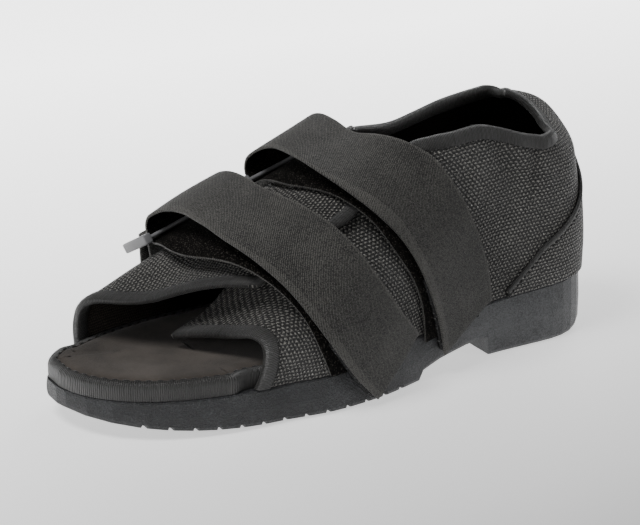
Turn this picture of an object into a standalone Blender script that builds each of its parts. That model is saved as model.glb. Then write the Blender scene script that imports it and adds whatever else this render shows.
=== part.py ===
"""Post operative shoe for a left foot: rubber sole, wrapped footbed, mesh upper and two straps.

The shoe stands on z = 0 with its toe towards +X and the wearer's left towards +Y.
It is modelled with the sole's middle at x = 0 and the heel's centre line at y = 0, and then
moved so that the origin is under the middle of its box.
"""
import math

import bmesh
import bpy
import numpy as np
from mathutils import Matrix, Vector

# Last and sole, in metres
LENGTH = 0.290
BALL_WIDTH = 0.098
HEEL_WIDTH = 0.069
HEEL_SOLE = 0.0315
FOREFOOT_SOLE = 0.0182
TOE_SPRING = 0.0105
SOLE_FLARE = 0.0012
SOLE_EDGE_ROUND = 0.0025
HEEL_BREAST = 0.0100
HEEL_BACK_LIFT = 0.0055
TREAD_DEPTH = 0.0013
TREAD_GROOVE = 0.0030
TREAD_COUNT = 13
TREAD_FIRST = 0.455
TREAD_LAST = 0.905
GROOVE_RAMP = 0.15
SOLE_TIP = 0.0012
SOLE_STATIONS = (0.180, 0.215, 0.2425, 0.270, 0.330, 0.380, 0.4105, 0.460)
END_STATIONS = 9
EDGE_EASE = 0.3
SOLE_SIDE = 0.030
FOOTBED = 0.0092
FOOTBED_ROUND = 0.0022
FOOTBED_END = 0.0006
FOOTBED_STATIONS = 41
FOOTBED_STEP_RUN = (0.012, 0.042)

# Upper
HEEL_TAB_HEIGHT = 0.1260
INSTEP_HEIGHT = 0.1050
TOE_BOX_HEIGHT = 0.0525
WALL = 0.0025
BINDING_WIDTH = 0.0065
BINDING_RAISE = 0.0008
BINDING_ROWS = 3
HEEL_COLUMNS = 17
SIDE_COLUMNS = 15
LONG_SIDE_COLUMNS = 19
FREE_ROWS = 9
SHARP_ANGLE = 35.0

# Heel counter
COUNTER = 0.0010
COUNTER_RIB_WIDTH = 0.0022
COUNTER_RIB = 0.0007
COUNTER_ROWS = 7
COUNTER_SIDE_COLUMNS = 5

# Straps and rings
STRAP_WIDTH = 0.036
STRAP = 0.0015
STRAP_BOW = 0.0130
STRAP_STEP = 0.0036
FOLD_RADIUS = 0.0070
FOLD_LIFT = 0.0108
HOOK_LENGTH = 0.044
HOOK_OVERHANG = 0.0020
RING_ROD = 0.0036
RING_SIDE_PLAY = 0.0016
RING_DEPTH = 0.0190
RING_SEAT = 55.0
RING_CORNER = 0.0030
TAB_WIDTH = 0.025
TAB_RETURN = 0.010
TAB_STEP = 0.0020
STRAP_COLUMNS = 5
FOLD_STEPS = 7
ROW_READINGS = 12

# Reach of the measure of a surface's direction, and of a strap's slanted seam
NORMAL_REACH = 0.003
SLOPE_REACH = 0.02
FLAT_REACH = 0.01
SEAM_CUT_RUN = 0.060

# Clearances
GAP = 0.0003
LAP_GAP = 0.0005
UPPER_INSET = 0.0006
FOOTBED_TOE_INSET = 0.0007

# Where the heel's round back and the toe's round front begin, as shares of LENGTH
HEEL_CENTRE = 0.135
TOE_START = 0.68
HEEL_SQUARENESS = 2.3
ROLL_IN = 0.0165
ROLL_RUN = 0.020
ROLL_START = (0.0, 0.30)
ROLL_END = (0.78, 1.0)
TOE_TIP_SHIFT = -0.075
LEFT_TOE_SQUARENESS = 2.25
RIGHT_TOE_SQUARENESS = 1.85

# Half widths: share of LENGTH, part of HEEL_WIDTH, left part and right part of BALL_WIDTH
OUTLINE = (
    (0.000, 0.470, 0.000, 0.000),
    (0.135, 0.485, 0.000, 0.000),
    (0.250, 0.500, 0.000, 0.000),
    (0.380, 0.250, 0.250, 0.220),
    (0.500, 0.000, 0.525, 0.425),
    (0.600, 0.000, 0.553, 0.440),
    (0.680, 0.000, 0.525, 0.450),
    (1.000, 0.000, 0.525, 0.450),
)

# Top of the rubber: share of LENGTH, rise from FOREFOOT_SOLE to HEEL_SOLE
SOLE_TOP = (
    (0.00, 1.00),
    (0.22, 0.79),
    (0.42, 0.36),
    (0.62, 0.02),
    (0.80, 0.00),
    (1.00, 0.04),
)

# Underside between heel and forefoot: share of LENGTH, part of HEEL_BREAST
ARCH = (
    (0.243, 0.00),
    (0.250, 1.00),
    (0.300, 0.93),
    (0.360, 0.72),
    (0.400, 0.45),
    (0.410, 0.00),
)
SPRING_START = 0.66
HEEL_ROUND_END = 0.075

# Ridge of the upper: share of LENGTH, parts of HEEL_TAB_HEIGHT, INSTEP_HEIGHT and
# TOE_BOX_HEIGHT, and how square the section is
RIDGE = (
    (0.000, 1.00, 0.00, 0.00, 4.0),
    (0.135, 1.03, 0.00, 0.00, 4.0),
    (0.250, 1.07, 0.00, 0.00, 4.0),
    (0.350, 0.60, 0.50, 0.00, 3.3),
    (0.420, 0.25, 0.82, 0.00, 2.7),
    (0.500, 0.00, 1.00, 0.00, 2.5),
    (0.600, 0.00, 0.875, 0.00, 2.5),
    (0.700, 0.00, 0.75, 0.00, 2.7),
    (0.780, 0.00, 0.30, 0.69, 3.1),
    (0.850, 0.00, 0.00, 1.10, 3.6),
    (0.930, 0.00, 0.00, 0.93, 4.0),
)

# Collar edge along each side: share of LENGTH, left and right height in HEEL_TAB_HEIGHT
COLLAR = (
    (0.135, 0.860, 0.965),
    (0.175, 0.883, 0.945),
    (0.217, 0.917, 0.922),
    (0.260, 0.944, 0.890),
    (0.317, 0.936, 0.856),
    (0.356, 0.930, 0.860),
    (0.400, 0.900, 0.878),
    (0.430, 0.830, 0.890),
)

# Collar edge round the back: turn from left (0) to right (1), height in HEEL_TAB_HEIGHT
BACK_COLLAR = (
    (0.00, 0.860),
    (0.25, 0.885),
    (0.40, 0.935),
    (0.50, 0.980),
    (0.62, 0.985),
    (0.80, 0.968),
    (1.00, 0.965),
)

# Edge of the heel counter along each side: share of LENGTH, height in HEEL_TAB_HEIGHT
COUNTER_EDGE = (
    (0.135, 0.415),
    (0.160, 0.362),
    (0.185, 0.310),
    (0.209, 0.262),
)

# Edge of the heel counter round the back: turn from its side (0) to its back (1), height
COUNTER_BACK = (
    (0.00, 0.415),
    (0.25, 0.480),
    (0.50, 0.560),
    (0.72, 0.660),
    (0.88, 0.735),
    (1.00, 0.750),
)

# Where the flaps change, as shares of LENGTH: the lap starts, the left flap goes under the right
# one and has no binding, its ridge sags, and both droop towards the toe
LAP_RUN = (0.40, 0.43)
TUCK_RUN = (0.40, 0.47)
HIDDEN_FROM = 0.44
SAG_RUN = (0.575, 0.755)
DROOP_RUN = (0.56, 0.74)
LEFT_SAG = 0.0200
RIGHT_DROOP = 0.0075

# Where they change round the girth, as shares from the left foot
TUCK_CLIMB = (0.12, 0.30)
DROOP_RISE = (0.12, 0.32)
DROOP_FALL = (0.50, 0.74)

# Reach of each flap in girth shares from its own side's foot: share of LENGTH, left, right
FLAP_REACH = (
    (0.430, 0.385, 0.420),
    (0.465, 0.420, 0.540),
    (0.500, 0.455, 0.640),
    (0.560, 0.470, 0.672),
    (0.640, 0.480, 0.690),
    (0.705, 0.490, 0.690),
    (0.930, 0.500, 0.690),
)

# Front edge of the left flap: part of its reach, share of LENGTH
LEFT_FRONT = (
    (0.00, 0.728),
    (0.10, 0.716),
    (0.22, 0.709),
    (0.38, 0.718),
    (0.55, 0.738),
    (0.75, 0.768),
    (1.00, 0.800),
)

# Front edge of the right flap: part of its reach, share of LENGTH
RIGHT_FRONT = (
    (0.00, 0.920),
    (0.25, 0.922),
    (0.38, 0.915),
    (0.52, 0.888),
    (0.68, 0.840),
    (0.84, 0.774),
    (1.00, 0.700),
)

# Straps from their seam on the left to their ring and back over to their end on the left:
# share of LENGTH, girth share from the left foot, bow over the instep, layers below, skew, tilt
FRONT_UNDER = (
    (0.515, -0.045, 0.00, 0.0, -32, 0.0),
    (0.541, 0.010, 0.00, 0.0, -34, 0.0),
    (0.566, 0.105, 0.00, 0.0, -34, 0.0),
    (0.592, 0.200, 0.00, 0.0, -33, 0.0),
    (0.621, 0.275, 0.00, 0.0, -34, 0.0),
    (0.655, 0.350, 0.00, 0.0, -36, 0.0),
    (0.690, 0.435, 0.00, 0.0, -36, 0.0),
    (0.716, 0.520, 0.00, 0.0, -32, 0.0),
    (0.724, 0.595, 0.06, 0.0, -18, 0.0),
)
FRONT_OVER = (
    (0.712, 0.645, 1.10, 1.15, -12, 0.0),
    (0.703, 0.590, 1.05, 1.15, -17, 0.0),
    (0.695, 0.515, 0.84, 1.15, -21, 0.0),
    (0.683, 0.435, 0.56, 1.15, -25, 0.0),
    (0.657, 0.365, 0.32, 1.15, -28, 0.0),
    (0.619, 0.285, 0.12, 1.15, -30, 0.0),
    (0.588, 0.205, 0.05, 2.0, -33, 0.0),
    (0.550, 0.115, 0.00, 2.0, -38, 0.0),
    (0.513, 0.037, 0.00, 2.0, -41, 0.0),
    (0.473, -0.030, 0.00, 2.0, -42, 0.0),
)
BACK_UNDER = (
    (0.336, -0.030, 0.00, 0.0, -12, 0.0),
    (0.341, 0.020, 0.00, 0.0, -14, 0.0),
    (0.349, 0.085, 0.00, 0.0, -16, 0.0),
    (0.370, 0.155, 0.00, 0.0, -20, 0.0),
    (0.412, 0.250, 0.00, 0.0, -25, 0.0),
    (0.450, 0.340, 0.06, 0.0, -27, 0.0),
    (0.483, 0.410, 0.10, 0.0, -25, 0.0),
    (0.513, 0.480, 0.06, 0.0, -18, 0.0),
    (0.530, 0.535, 0.10, 0.0, -12, 0.0),
)
BACK_OVER = (
    (0.528, 0.580, 1.08, 1.15, -12, 0.10),
    (0.522, 0.520, 0.80, 1.15, -17, 0.40),
    (0.507, 0.462, 0.42, 1.15, -23, 0.58),
    (0.481, 0.408, 0.24, 1.15, -28, 0.38),
    (0.450, 0.355, 0.14, 1.15, -31, 0.20),
    (0.417, 0.300, 0.06, 1.15, -31, 0.0),
    (0.388, 0.240, 0.00, 1.7, -29, 0.0),
    (0.363, 0.180, 0.00, 2.1, -26, 0.0),
    (0.338, 0.112, 0.00, 2.0, -25, 0.0),
    (0.319, 0.045, 0.00, 2.0, -27, 0.0),
    (0.309, -0.018, 0.00, 2.0, -31, 0.0),
)

# Ring of each strap: share of LENGTH and girth share of its fold's middle, skew, droop,
# part of RING_DEPTH
FRONT_RING = (0.720, 0.674, -8, 26, 0.80)
BACK_RING = (0.536, 0.634, -8, 48, 1.00)

# Tab of each ring up the right side: girth share, layers below
TAB_RUN = (
    (0.972, 0.0),
    (0.935, 0.0),
    (0.900, 0.0),
    (0.850, 1.0),
)

# Lean of the heel's back: part of HEEL_TAB_HEIGHT, lean forward as part of HEEL_TAB_HEIGHT
HEEL_LEAN = (
    (0.22, -0.012),
    (0.35, -0.016),
    (0.55, 0.004),
    (0.70, 0.026),
    (0.85, 0.034),
    (1.00, 0.034),
)


def smoothstep(low, high, value):
    """Rise from 0 at low to 1 at high with level ends."""
    t = np.clip((value - low) / (high - low), 0.0, 1.0)
    return t * t * (3.0 - 2.0 * t)


def read_table(table, column, place):
    """Value of one column at a place, on a smooth curve through its rows."""
    x = np.array([row[0] for row in table])
    y = np.array([row[column] for row in table])
    step = np.diff(x)
    slope = np.diff(y) / step
    inner = (slope[:-1] * step[1:] + slope[1:] * step[:-1]) / (step[:-1] + step[1:])
    tangent = np.concatenate(([slope[0]], inner, [slope[-1]]))
    at = float(np.clip(place, x[0], x[-1]))
    i = min(int(np.searchsorted(x, at, side="right")) - 1, len(x) - 2)
    t = (at - x[i]) / step[i]
    return ((2 * t**3 - 3 * t**2 + 1) * y[i] + (t**3 - 2 * t**2 + t) * step[i] * tangent[i]
            + (3 * t**2 - 2 * t**3) * y[i + 1] + (t**3 - t**2) * step[i] * tangent[i + 1])


def lengthwise(share):
    """X of a place given as a share of LENGTH, from the heel's back."""
    return (share - 0.5) * LENGTH


def half_width(side, share, inset=0.0):
    """Half width on one side of the last, set in evenly from the sole's edge: 1 is left, -1 right."""
    column = 2 if side > 0 else 3

    def body(at):
        heel = read_table(OUTLINE, 1, at) * HEEL_WIDTH
        return heel + read_table(OUTLINE, column, at) * BALL_WIDTH - inset

    if share < HEEL_CENTRE:
        back = min((HEEL_CENTRE - share) * LENGTH / (HEEL_CENTRE * LENGTH - inset), 1.0)
        return body(HEEL_CENTRE) * (1.0 - back**HEEL_SQUARENESS) ** (1.0 / HEEL_SQUARENESS)
    if share > TOE_START:
        power = LEFT_TOE_SQUARENESS if side > 0 else RIGHT_TOE_SQUARENESS
        tip = side * TOE_TIP_SHIFT * BALL_WIDTH
        front = min((share - TOE_START) * LENGTH / ((1.0 - TOE_START) * LENGTH - inset), 1.0)
        return tip + (body(TOE_START) - tip) * (1.0 - front**power) ** (1.0 / power)
    return body(share)


def sole_top(share):
    """Height of the rubber's top edge."""
    return FOREFOOT_SOLE + (HEEL_SOLE - FOREFOOT_SOLE) * read_table(SOLE_TOP, 1, share)


def sole_under(share):
    """Height of the rubber's underside: rounded heel back, arch behind the ball, toe's spring."""
    spring = max(share - SPRING_START, 0.0) / (1.0 - SPRING_START)
    back = max(HEEL_ROUND_END - share, 0.0) / HEEL_ROUND_END
    lift = TOE_SPRING * spring**2 + HEEL_BACK_LIFT * back**2
    if ARCH[0][0] < share < ARCH[-1][0]:
        shares = [row[0] for row in ARCH]
        lift = HEEL_BREAST * float(np.interp(share, shares, [row[1] for row in ARCH]))
    return lift


def ridge(share):
    """Height of the upper's ridge over one section of the last."""
    return (read_table(RIDGE, 1, share) * HEEL_TAB_HEIGHT
            + read_table(RIDGE, 2, share) * INSTEP_HEIGHT
            + read_table(RIDGE, 3, share) * TOE_BOX_HEIGHT)


def arch_curve(radius, rise, power, points=48):
    """Quarter of a rounded box: spread and height from its foot to its crown."""
    angle = np.linspace(0.0, math.pi / 2.0, points)
    spread = radius * np.clip(np.cos(angle), 0.0, 1.0) ** (2.0 / power)
    height = rise * np.clip(np.sin(angle), 0.0, 1.0) ** (2.0 / power)
    return spread, height


def section(side, share, inset, drop=0.0):
    """Points of the upper's section from its foot on one side, over the ridge, to the other.

    The drop lowers the ridge of a flap that hangs slack.
    """
    foot = sole_top(share) + GAP
    rise = ridge(share) - drop - inset - foot
    power = read_table(RIDGE, 4, share)
    near, near_up = arch_curve(half_width(side, share, UPPER_INSET + inset), rise, power)
    far, far_up = arch_curve(half_width(-side, share, UPPER_INSET + inset), rise, power)
    y = side * np.concatenate([near, -far[-2::-1]])
    z = foot + np.concatenate([near_up, far_up[-2::-1]])
    x = np.full(len(y), lengthwise(share))
    return np.stack([x, y, z], axis=1)


def heel_section(turn, inset):
    """Points of the upper's section round the heel, from its foot to over the heel's centre.

    The turn is 0 at the left of the heel's centre, 0.5 at its back and 1 at its right.
    """
    angle = math.pi * (0.5 + turn)
    direction = np.array([math.cos(angle), math.sin(angle)])
    share = HEEL_CENTRE * (1.0 - abs(direction[0]))
    foot = sole_top(share) + GAP
    wide = half_width(1, HEEL_CENTRE, UPPER_INSET + inset)
    deep = HEEL_CENTRE * LENGTH - UPPER_INSET - inset
    power = HEEL_SQUARENESS
    reach = (abs(direction[0] / deep) ** power + abs(direction[1] / wide) ** power) ** (-1.0 / power)
    spread, height = arch_curve(reach, ridge(share) - inset - foot, read_table(RIDGE, 4, share))
    z = foot + height
    part = z / HEEL_TAB_HEIGHT
    lean = np.array([read_table(HEEL_LEAN, 1, p) for p in part]) * HEEL_TAB_HEIGHT
    x = lengthwise(HEEL_CENTRE) + spread * direction[0] + lean * direction[0] ** 2
    return np.stack([x, spread * direction[1], z], axis=1)


def measure(points):
    """Distance of each point along a line of points."""
    return np.concatenate(([0.0], np.cumsum(np.linalg.norm(np.diff(points, axis=0), axis=1))))


def along(points, distance):
    """Point at a distance along a line of points."""
    travelled = measure(points)
    return np.array([np.interp(distance, travelled, points[:, k]) for k in range(3)])


def distance_at_height(points, height):
    """Distance along a section's rising half to where it reaches a height."""
    top = int(np.argmax(points[:, 2]))
    return float(np.interp(height, points[: top + 1, 2], measure(points)[: top + 1]))


def tuck(share, part):
    """How far the left flap lies inside the right one: part is its share of girth."""
    lap = WALL + BINDING_RAISE + LAP_GAP
    return smoothstep(*TUCK_RUN, share) * smoothstep(*TUCK_CLIMB, part) * lap


def droop(share, left_part):
    """How far both flaps hang down between the straps and the toe, at a girth from the left foot."""
    across = smoothstep(*DROOP_RISE, left_part) * (1.0 - smoothstep(*DROOP_FALL, left_part))
    return RIGHT_DROOP * smoothstep(*DROOP_RUN, share) * across


def flap_point(side, share, part, inset):
    """Point of a flap at a girth share from its own foot."""
    drop = 0.0
    if side > 0:
        inset = inset + tuck(share, part)
        drop = LEFT_SAG * smoothstep(*SAG_RUN, share)
    points = section(side, share, inset, drop)
    point = along(points, part * measure(points)[-1])
    point[2] -= droop(share, part if side > 0 else 1.0 - part)
    return point


def flap_reach(side, share):
    """Girth share at which a flap ends: at the collar behind the throat, and beyond it at its lap."""
    points = section(side, share, 0.0)
    girth = measure(points)[-1]
    column = 1 if side > 0 else 2
    height = read_table(COLLAR, column, share) * HEEL_TAB_HEIGHT
    collar = distance_at_height(points, height) / girth
    lap = read_table(FLAP_REACH, column, share)
    return collar + (lap - collar) * smoothstep(*LAP_RUN, share)


def row_places(reach):
    """Distances of a column's rows from its foot, with a step where the binding starts."""
    start = reach - BINDING_WIDTH
    free = list(np.linspace(0.0, start, FREE_ROWS))
    return free + [start + 2.0 * BINDING_RAISE, reach - BINDING_RAISE, reach]


def raised(index, count):
    """True where a row or a column from the edge belongs to the binding."""
    return count - 1 - index < BINDING_ROWS


def hidden(side, share):
    """True where a flap's long edge lies under the other flap and has no binding."""
    return side > 0 and share > HIDDEN_FROM


def flap_columns(side):
    """Columns of one flap from the heel's centre to its front edge: outer and inner points."""
    front = LEFT_FRONT if side > 0 else RIGHT_FRONT
    span = read_table(front, 1, 0.0) - HEEL_CENTRE
    columns = SIDE_COLUMNS if side > 0 else LONG_SIDE_COLUMNS
    edge = BINDING_WIDTH / (span * LENGTH)
    lip = BINDING_RAISE / (span * LENGTH)
    shares = list(np.linspace(0.0, 1.0 - edge, columns))
    shares += [1.0 - edge + 2.0 * lip, 1.0 - lip, 1.0]
    outer, inner = [], []
    top_span = read_table(front, 1, 1.0) - HEEL_CENTRE
    for index, position in enumerate(shares):
        nominal = HEEL_CENTRE + top_span * position
        reach = flap_reach(side, nominal)
        girth = measure(section(side, nominal, 0.0))[-1]
        places = row_places(reach * girth)
        out_column, in_column = [], []
        for row, place in enumerate(places):
            part = place / girth
            share = HEEL_CENTRE + (read_table(front, 1, part / reach) - HEEL_CENTRE) * position
            bound = raised(index, len(shares)) or (raised(row, len(places)) and not hidden(side, nominal))
            lift = BINDING_RAISE if bound else 0.0
            out_column.append(flap_point(side, share, part, -lift))
            in_column.append(flap_point(side, share, part, WALL + lift))
        outer.append(out_column)
        inner.append(in_column)
    return outer, inner


def roll_in(turn, below):
    """How far the heel's rim rolls inwards at a distance below it, forwards and across."""
    around = smoothstep(*ROLL_START, turn) * (1.0 - smoothstep(*ROLL_END, turn))
    push = ROLL_IN * around * max(1.0 - below / ROLL_RUN, 0.0) ** 2
    angle = math.pi * (0.5 + turn)
    return push * np.array([-math.cos(angle), -0.5 * math.sin(angle), 0.0])


def heel_columns():
    """Columns round the heel from left to right, without the two that the flaps share."""
    outer, inner = [], []
    for turn in np.linspace(0.0, 1.0, HEEL_COLUMNS)[1:-1]:
        height = read_table(BACK_COLLAR, 1, turn) * HEEL_TAB_HEIGHT
        skin = heel_section(turn, 0.0)
        top = distance_at_height(skin, height)
        places = row_places(top)
        whole = measure(skin)[-1]
        out_column, in_column = [], []
        for row, place in enumerate(places):
            lift = BINDING_RAISE if raised(row, len(places)) else 0.0
            for inset, column in ((-lift, out_column), (WALL + lift, in_column)):
                points = heel_section(turn, inset)
                point = along(points, place / whole * measure(points)[-1])
                column.append(point + roll_in(turn, top - place))
        outer.append(out_column)
        inner.append(in_column)
    return outer, inner


def wrap(share, part, lift):
    """Point above the closed flaps at a girth share from the left foot, and the girth there.

    Below either foot the surface goes straight down beside the sole.
    """
    skin = section(1, share, 0.0)
    girth = measure(skin)[-1]
    down = np.array([0.0, 0.0, SOLE_SIDE])
    whole = np.concatenate([[skin[0] - down], skin, [skin[-1] - down]])
    place = part * girth + SOLE_SIDE
    here = along(whole, place)
    run = along(whole, place + NORMAL_REACH) - along(whole, place - NORMAL_REACH)
    outward = np.array([0.0, run[2], -run[1]]) / np.linalg.norm(run)
    return here + outward * lift, girth


def layer_lift(bow, layers):
    """Distance of a strap's middle above the flaps, over a bound edge and the layers below it."""
    return 0.5 * STRAP + GAP + BINDING_RAISE + layers * (STRAP + GAP) + bow * STRAP_BOW


def fold_rows(ring):
    """Rows of a strap's turn round its ring."""
    share, part, skew = ring[:3]
    girth = wrap(share, part, 0.0)[1]
    rows = []
    for angle in np.linspace(-0.5 * math.pi, 0.5 * math.pi, FOLD_STEPS):
        out = FOLD_RADIUS * math.cos(angle) / girth
        rows.append((share, part + out, FOLD_LIFT + FOLD_RADIUS * math.sin(angle), skew, 0.0))
    return rows


def strap_rows(under, ring, over):
    """Rows of a whole strap: share, girth share, lift, skew, rise of its front edge."""
    def plain(rows):
        return [(share, part, layer_lift(bow, layers), skew, tilt * STRAP_BOW)
                for share, part, bow, layers, skew, tilt in rows]

    return plain(under) + fold_rows(ring) + plain(over)


def read_rows(rows, step):
    """Row at a step between rows, on a smooth curve."""
    table = [(index, *row) for index, row in enumerate(rows)]
    return [read_table(table, column, step) for column in range(1, len(rows[0]) + 1)]


def ribbon(rows, width, spacing, seam_cut=0.0):
    """Points across a strap of even width at each station along it, and its directions outwards.

    The seam cut slants the strap's start, so that its end lies along the sole.
    """
    steps = np.linspace(0.0, len(rows) - 1.0, ROW_READINGS * len(rows))
    middle = np.array([wrap(*read_rows(rows, step)[:3])[0] for step in steps])
    travelled = measure(middle)
    stations = np.linspace(0.0, travelled[-1], int(round(travelled[-1] / spacing)) + 1)
    across = np.linspace(-0.5, 0.5, STRAP_COLUMNS)
    grid = []
    for place in stations:
        line = []
        for part in across:
            late = (part + 0.5) * seam_cut * width * max(1.0 - place / SEAM_CUT_RUN, 0.0)
            row = read_rows(rows, np.interp(place + late, travelled, steps))
            share, girth_part, lift, skew, tilt = row
            girth = wrap(share, girth_part, 0.0)[1]
            fall = ridge(share - SLOPE_REACH) - ridge(share + SLOPE_REACH)
            slope = fall / (2.0 * SLOPE_REACH * LENGTH)
            stretch = math.sqrt(1.0 + (slope * math.sin(math.pi * np.clip(girth_part, 0.0, 1.0))) ** 2)
            turn = math.radians(skew)
            share += part * width * math.cos(turn) / (stretch * LENGTH)
            girth_part += part * width * math.sin(turn) / girth
            line.append(wrap(share, girth_part, lift + part * tilt)[0])
        grid.append(line)
    grid = np.array(grid)
    return grid, surface_normals(grid)


def surface_normals(grid):
    """Direction outwards at each point of a grid whose rows run across a strap."""
    normal = np.cross(np.gradient(grid, axis=1), np.gradient(grid, axis=0))
    return normal / np.linalg.norm(normal, axis=2, keepdims=True)


def slab(grid, normal, low, high):
    """Rings of a wall between two distances from a strap's middle surface."""
    return sheet_rings(grid + high * normal, grid + low * normal)


def new_material(name, colour, roughness, metallic=0.0):
    """Plain Principled material in linear colour."""
    material = bpy.data.materials.new(name)
    material.use_nodes = True
    shader = material.node_tree.nodes["Principled BSDF"]
    shader.inputs["Base Color"].default_value = (*colour, 1.0)
    shader.inputs["Roughness"].default_value = roughness
    shader.inputs["Metallic"].default_value = metallic
    return material


def add_object(name, vertices, faces, material, collection):
    """Mesh object of one closed body, with its faces turned outwards."""
    mesh = bpy.data.meshes.new(name)
    mesh.from_pydata([tuple(map(float, v)) for v in vertices], [], faces)
    body = bmesh.new()
    body.from_mesh(mesh)
    bmesh.ops.remove_doubles(body, verts=body.verts, dist=0.000002)
    bmesh.ops.triangulate(body, faces=body.faces)
    bmesh.ops.recalc_face_normals(body, faces=body.faces)
    body.to_mesh(mesh)
    body.free()
    mesh.materials.append(material)
    mesh.shade_smooth()
    mesh.set_sharp_from_angle(angle=math.radians(SHARP_ANGLE))
    part = bpy.data.objects.new(name, mesh)
    collection.objects.link(part)
    return part


def loft(rings):
    """Vertices and faces through rings of equal length, with an end face at each end."""
    count = len(rings[0])
    vertices = [point for ring in rings for point in ring]
    faces = []
    for i in range(len(rings) - 1):
        for j in range(count):
            a, b = i * count + j, i * count + (j + 1) % count
            faces.append((a, b, b + count, a + count))
    faces.append(tuple(range(count)))
    faces.append(tuple(reversed(range((len(rings) - 1) * count, len(rings) * count))))
    return vertices, faces


def sheet_rings(outer, inner):
    """Closed ring of each column of a wall: up the outer face and down the inner one."""
    return [list(out) + list(reversed(back)) for out, back in zip(outer, inner)]


def sole_shares():
    """Stations along the sole: close together at both round ends and at each step below."""
    ends = [1.0 - math.cos(math.pi * t) for t in np.linspace(0.0, 0.5, END_STATIONS)[1:]]
    heel = [HEEL_CENTRE * e for e in ends]
    toe = [1.0 - (1.0 - TOE_START) * e for e in ends]
    shares = {SOLE_TIP, 1.0 - SOLE_TIP, *heel, *toe, *SOLE_STATIONS, *(row[0] for row in ARCH)}
    for start, end in tread_grooves():
        ramp = GROOVE_RAMP * (end - start)
        shares.update((start, start + ramp, end - ramp, end))
    return sorted(s for s in shares if SOLE_TIP <= s <= 1.0 - SOLE_TIP)


def tread_grooves():
    """Start and end of each groove across the forefoot, as shares of LENGTH."""
    half = 0.5 * TREAD_GROOVE / LENGTH
    middles = np.linspace(TREAD_FIRST, TREAD_LAST, TREAD_COUNT)
    return [(middle - half, middle + half) for middle in middles]


def groove_depth(share):
    """Depth of the tread at a share of LENGTH."""
    for start, end in tread_grooves():
        ramp = GROOVE_RAMP * (end - start)
        if start < share < end:
            return TREAD_DEPTH * min((share - start) / ramp, (end - share) / ramp, 1.0)
    return 0.0


def build_outsole(material, collection):
    """Unit sole: flared side, rounded lower edge, arch, heel block and grooved forefoot."""
    rings = []
    for share in sole_shares():
        top = sole_top(share)
        under = sole_under(share)
        x = lengthwise(share)
        tread = under + groove_depth(share)
        middle = 0.5 * (top + under)
        ring = []
        for side in (1, -1):
            edge = half_width(side, share)
            round_in = min(SOLE_EDGE_ROUND, 0.4 * edge)
            half = [
                (edge - EDGE_EASE * round_in, top),
                (edge, top - EDGE_EASE * SOLE_EDGE_ROUND),
                (edge + SOLE_FLARE, middle),
                (edge + SOLE_FLARE, under + SOLE_EDGE_ROUND),
                (edge + SOLE_FLARE - EDGE_EASE * round_in, tread + EDGE_EASE * SOLE_EDGE_ROUND),
                (edge + SOLE_FLARE - round_in, tread),
            ]
            if side < 0:
                half.reverse()
            ring += [(x, side * y, z) for y, z in half]
        rings.append(ring)
    return add_object("outsole", *loft(rings), material, collection)


def footbed_inset(side, share):
    """Distance of the footbed's side from the sole's edge: inside the flaps and proud at the toe."""
    front = read_table(LEFT_FRONT if side > 0 else RIGHT_FRONT, 1, 0.0)
    covered = UPPER_INSET + WALL + BINDING_RAISE + GAP
    step = smoothstep(front + FOOTBED_STEP_RUN[0], front + FOOTBED_STEP_RUN[1], share)
    return covered + (FOOTBED_TOE_INSET - covered) * step


def build_footbed(material, collection):
    """Board wrapped in cloth that closes the upper's underside and shows at the toe."""
    low_share = (footbed_inset(1, 0.0) + FOOTBED_END) / LENGTH
    high_share = 1.0 - (FOOTBED_TOE_INSET + FOOTBED_END) / LENGTH
    rings = []
    for turn in np.linspace(0.0, math.pi, FOOTBED_STATIONS):
        position = 0.5 * (1.0 - math.cos(turn))
        share = low_share + (high_share - low_share) * position
        low = sole_top(share) + GAP
        high = sole_top(share) + FOOTBED
        ring = []
        for side in (1, -1):
            edge = half_width(side, share, footbed_inset(side, share))
            half = [
                (edge - FOOTBED_ROUND, high),
                (edge - EDGE_EASE * FOOTBED_ROUND, high - EDGE_EASE * FOOTBED_ROUND),
                (edge, high - FOOTBED_ROUND),
                (edge, low),
            ]
            if side < 0:
                half.reverse()
            ring += [(lengthwise(share), side * y, z) for y, z in half]
        rings.append(ring)
    return add_object("footbed", *loft(rings), material, collection)


def build_upper(material, collection):
    """One hollow wall from the left flap round the heel to the right flap."""
    left_out, left_in = flap_columns(1)
    back_out, back_in = heel_columns()
    right_out, right_in = flap_columns(-1)
    outer = left_out[::-1] + back_out + right_out
    inner = left_in[::-1] + back_in + right_in
    return add_object("upper", *loft(sheet_rings(outer, inner)), material, collection)


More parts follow.
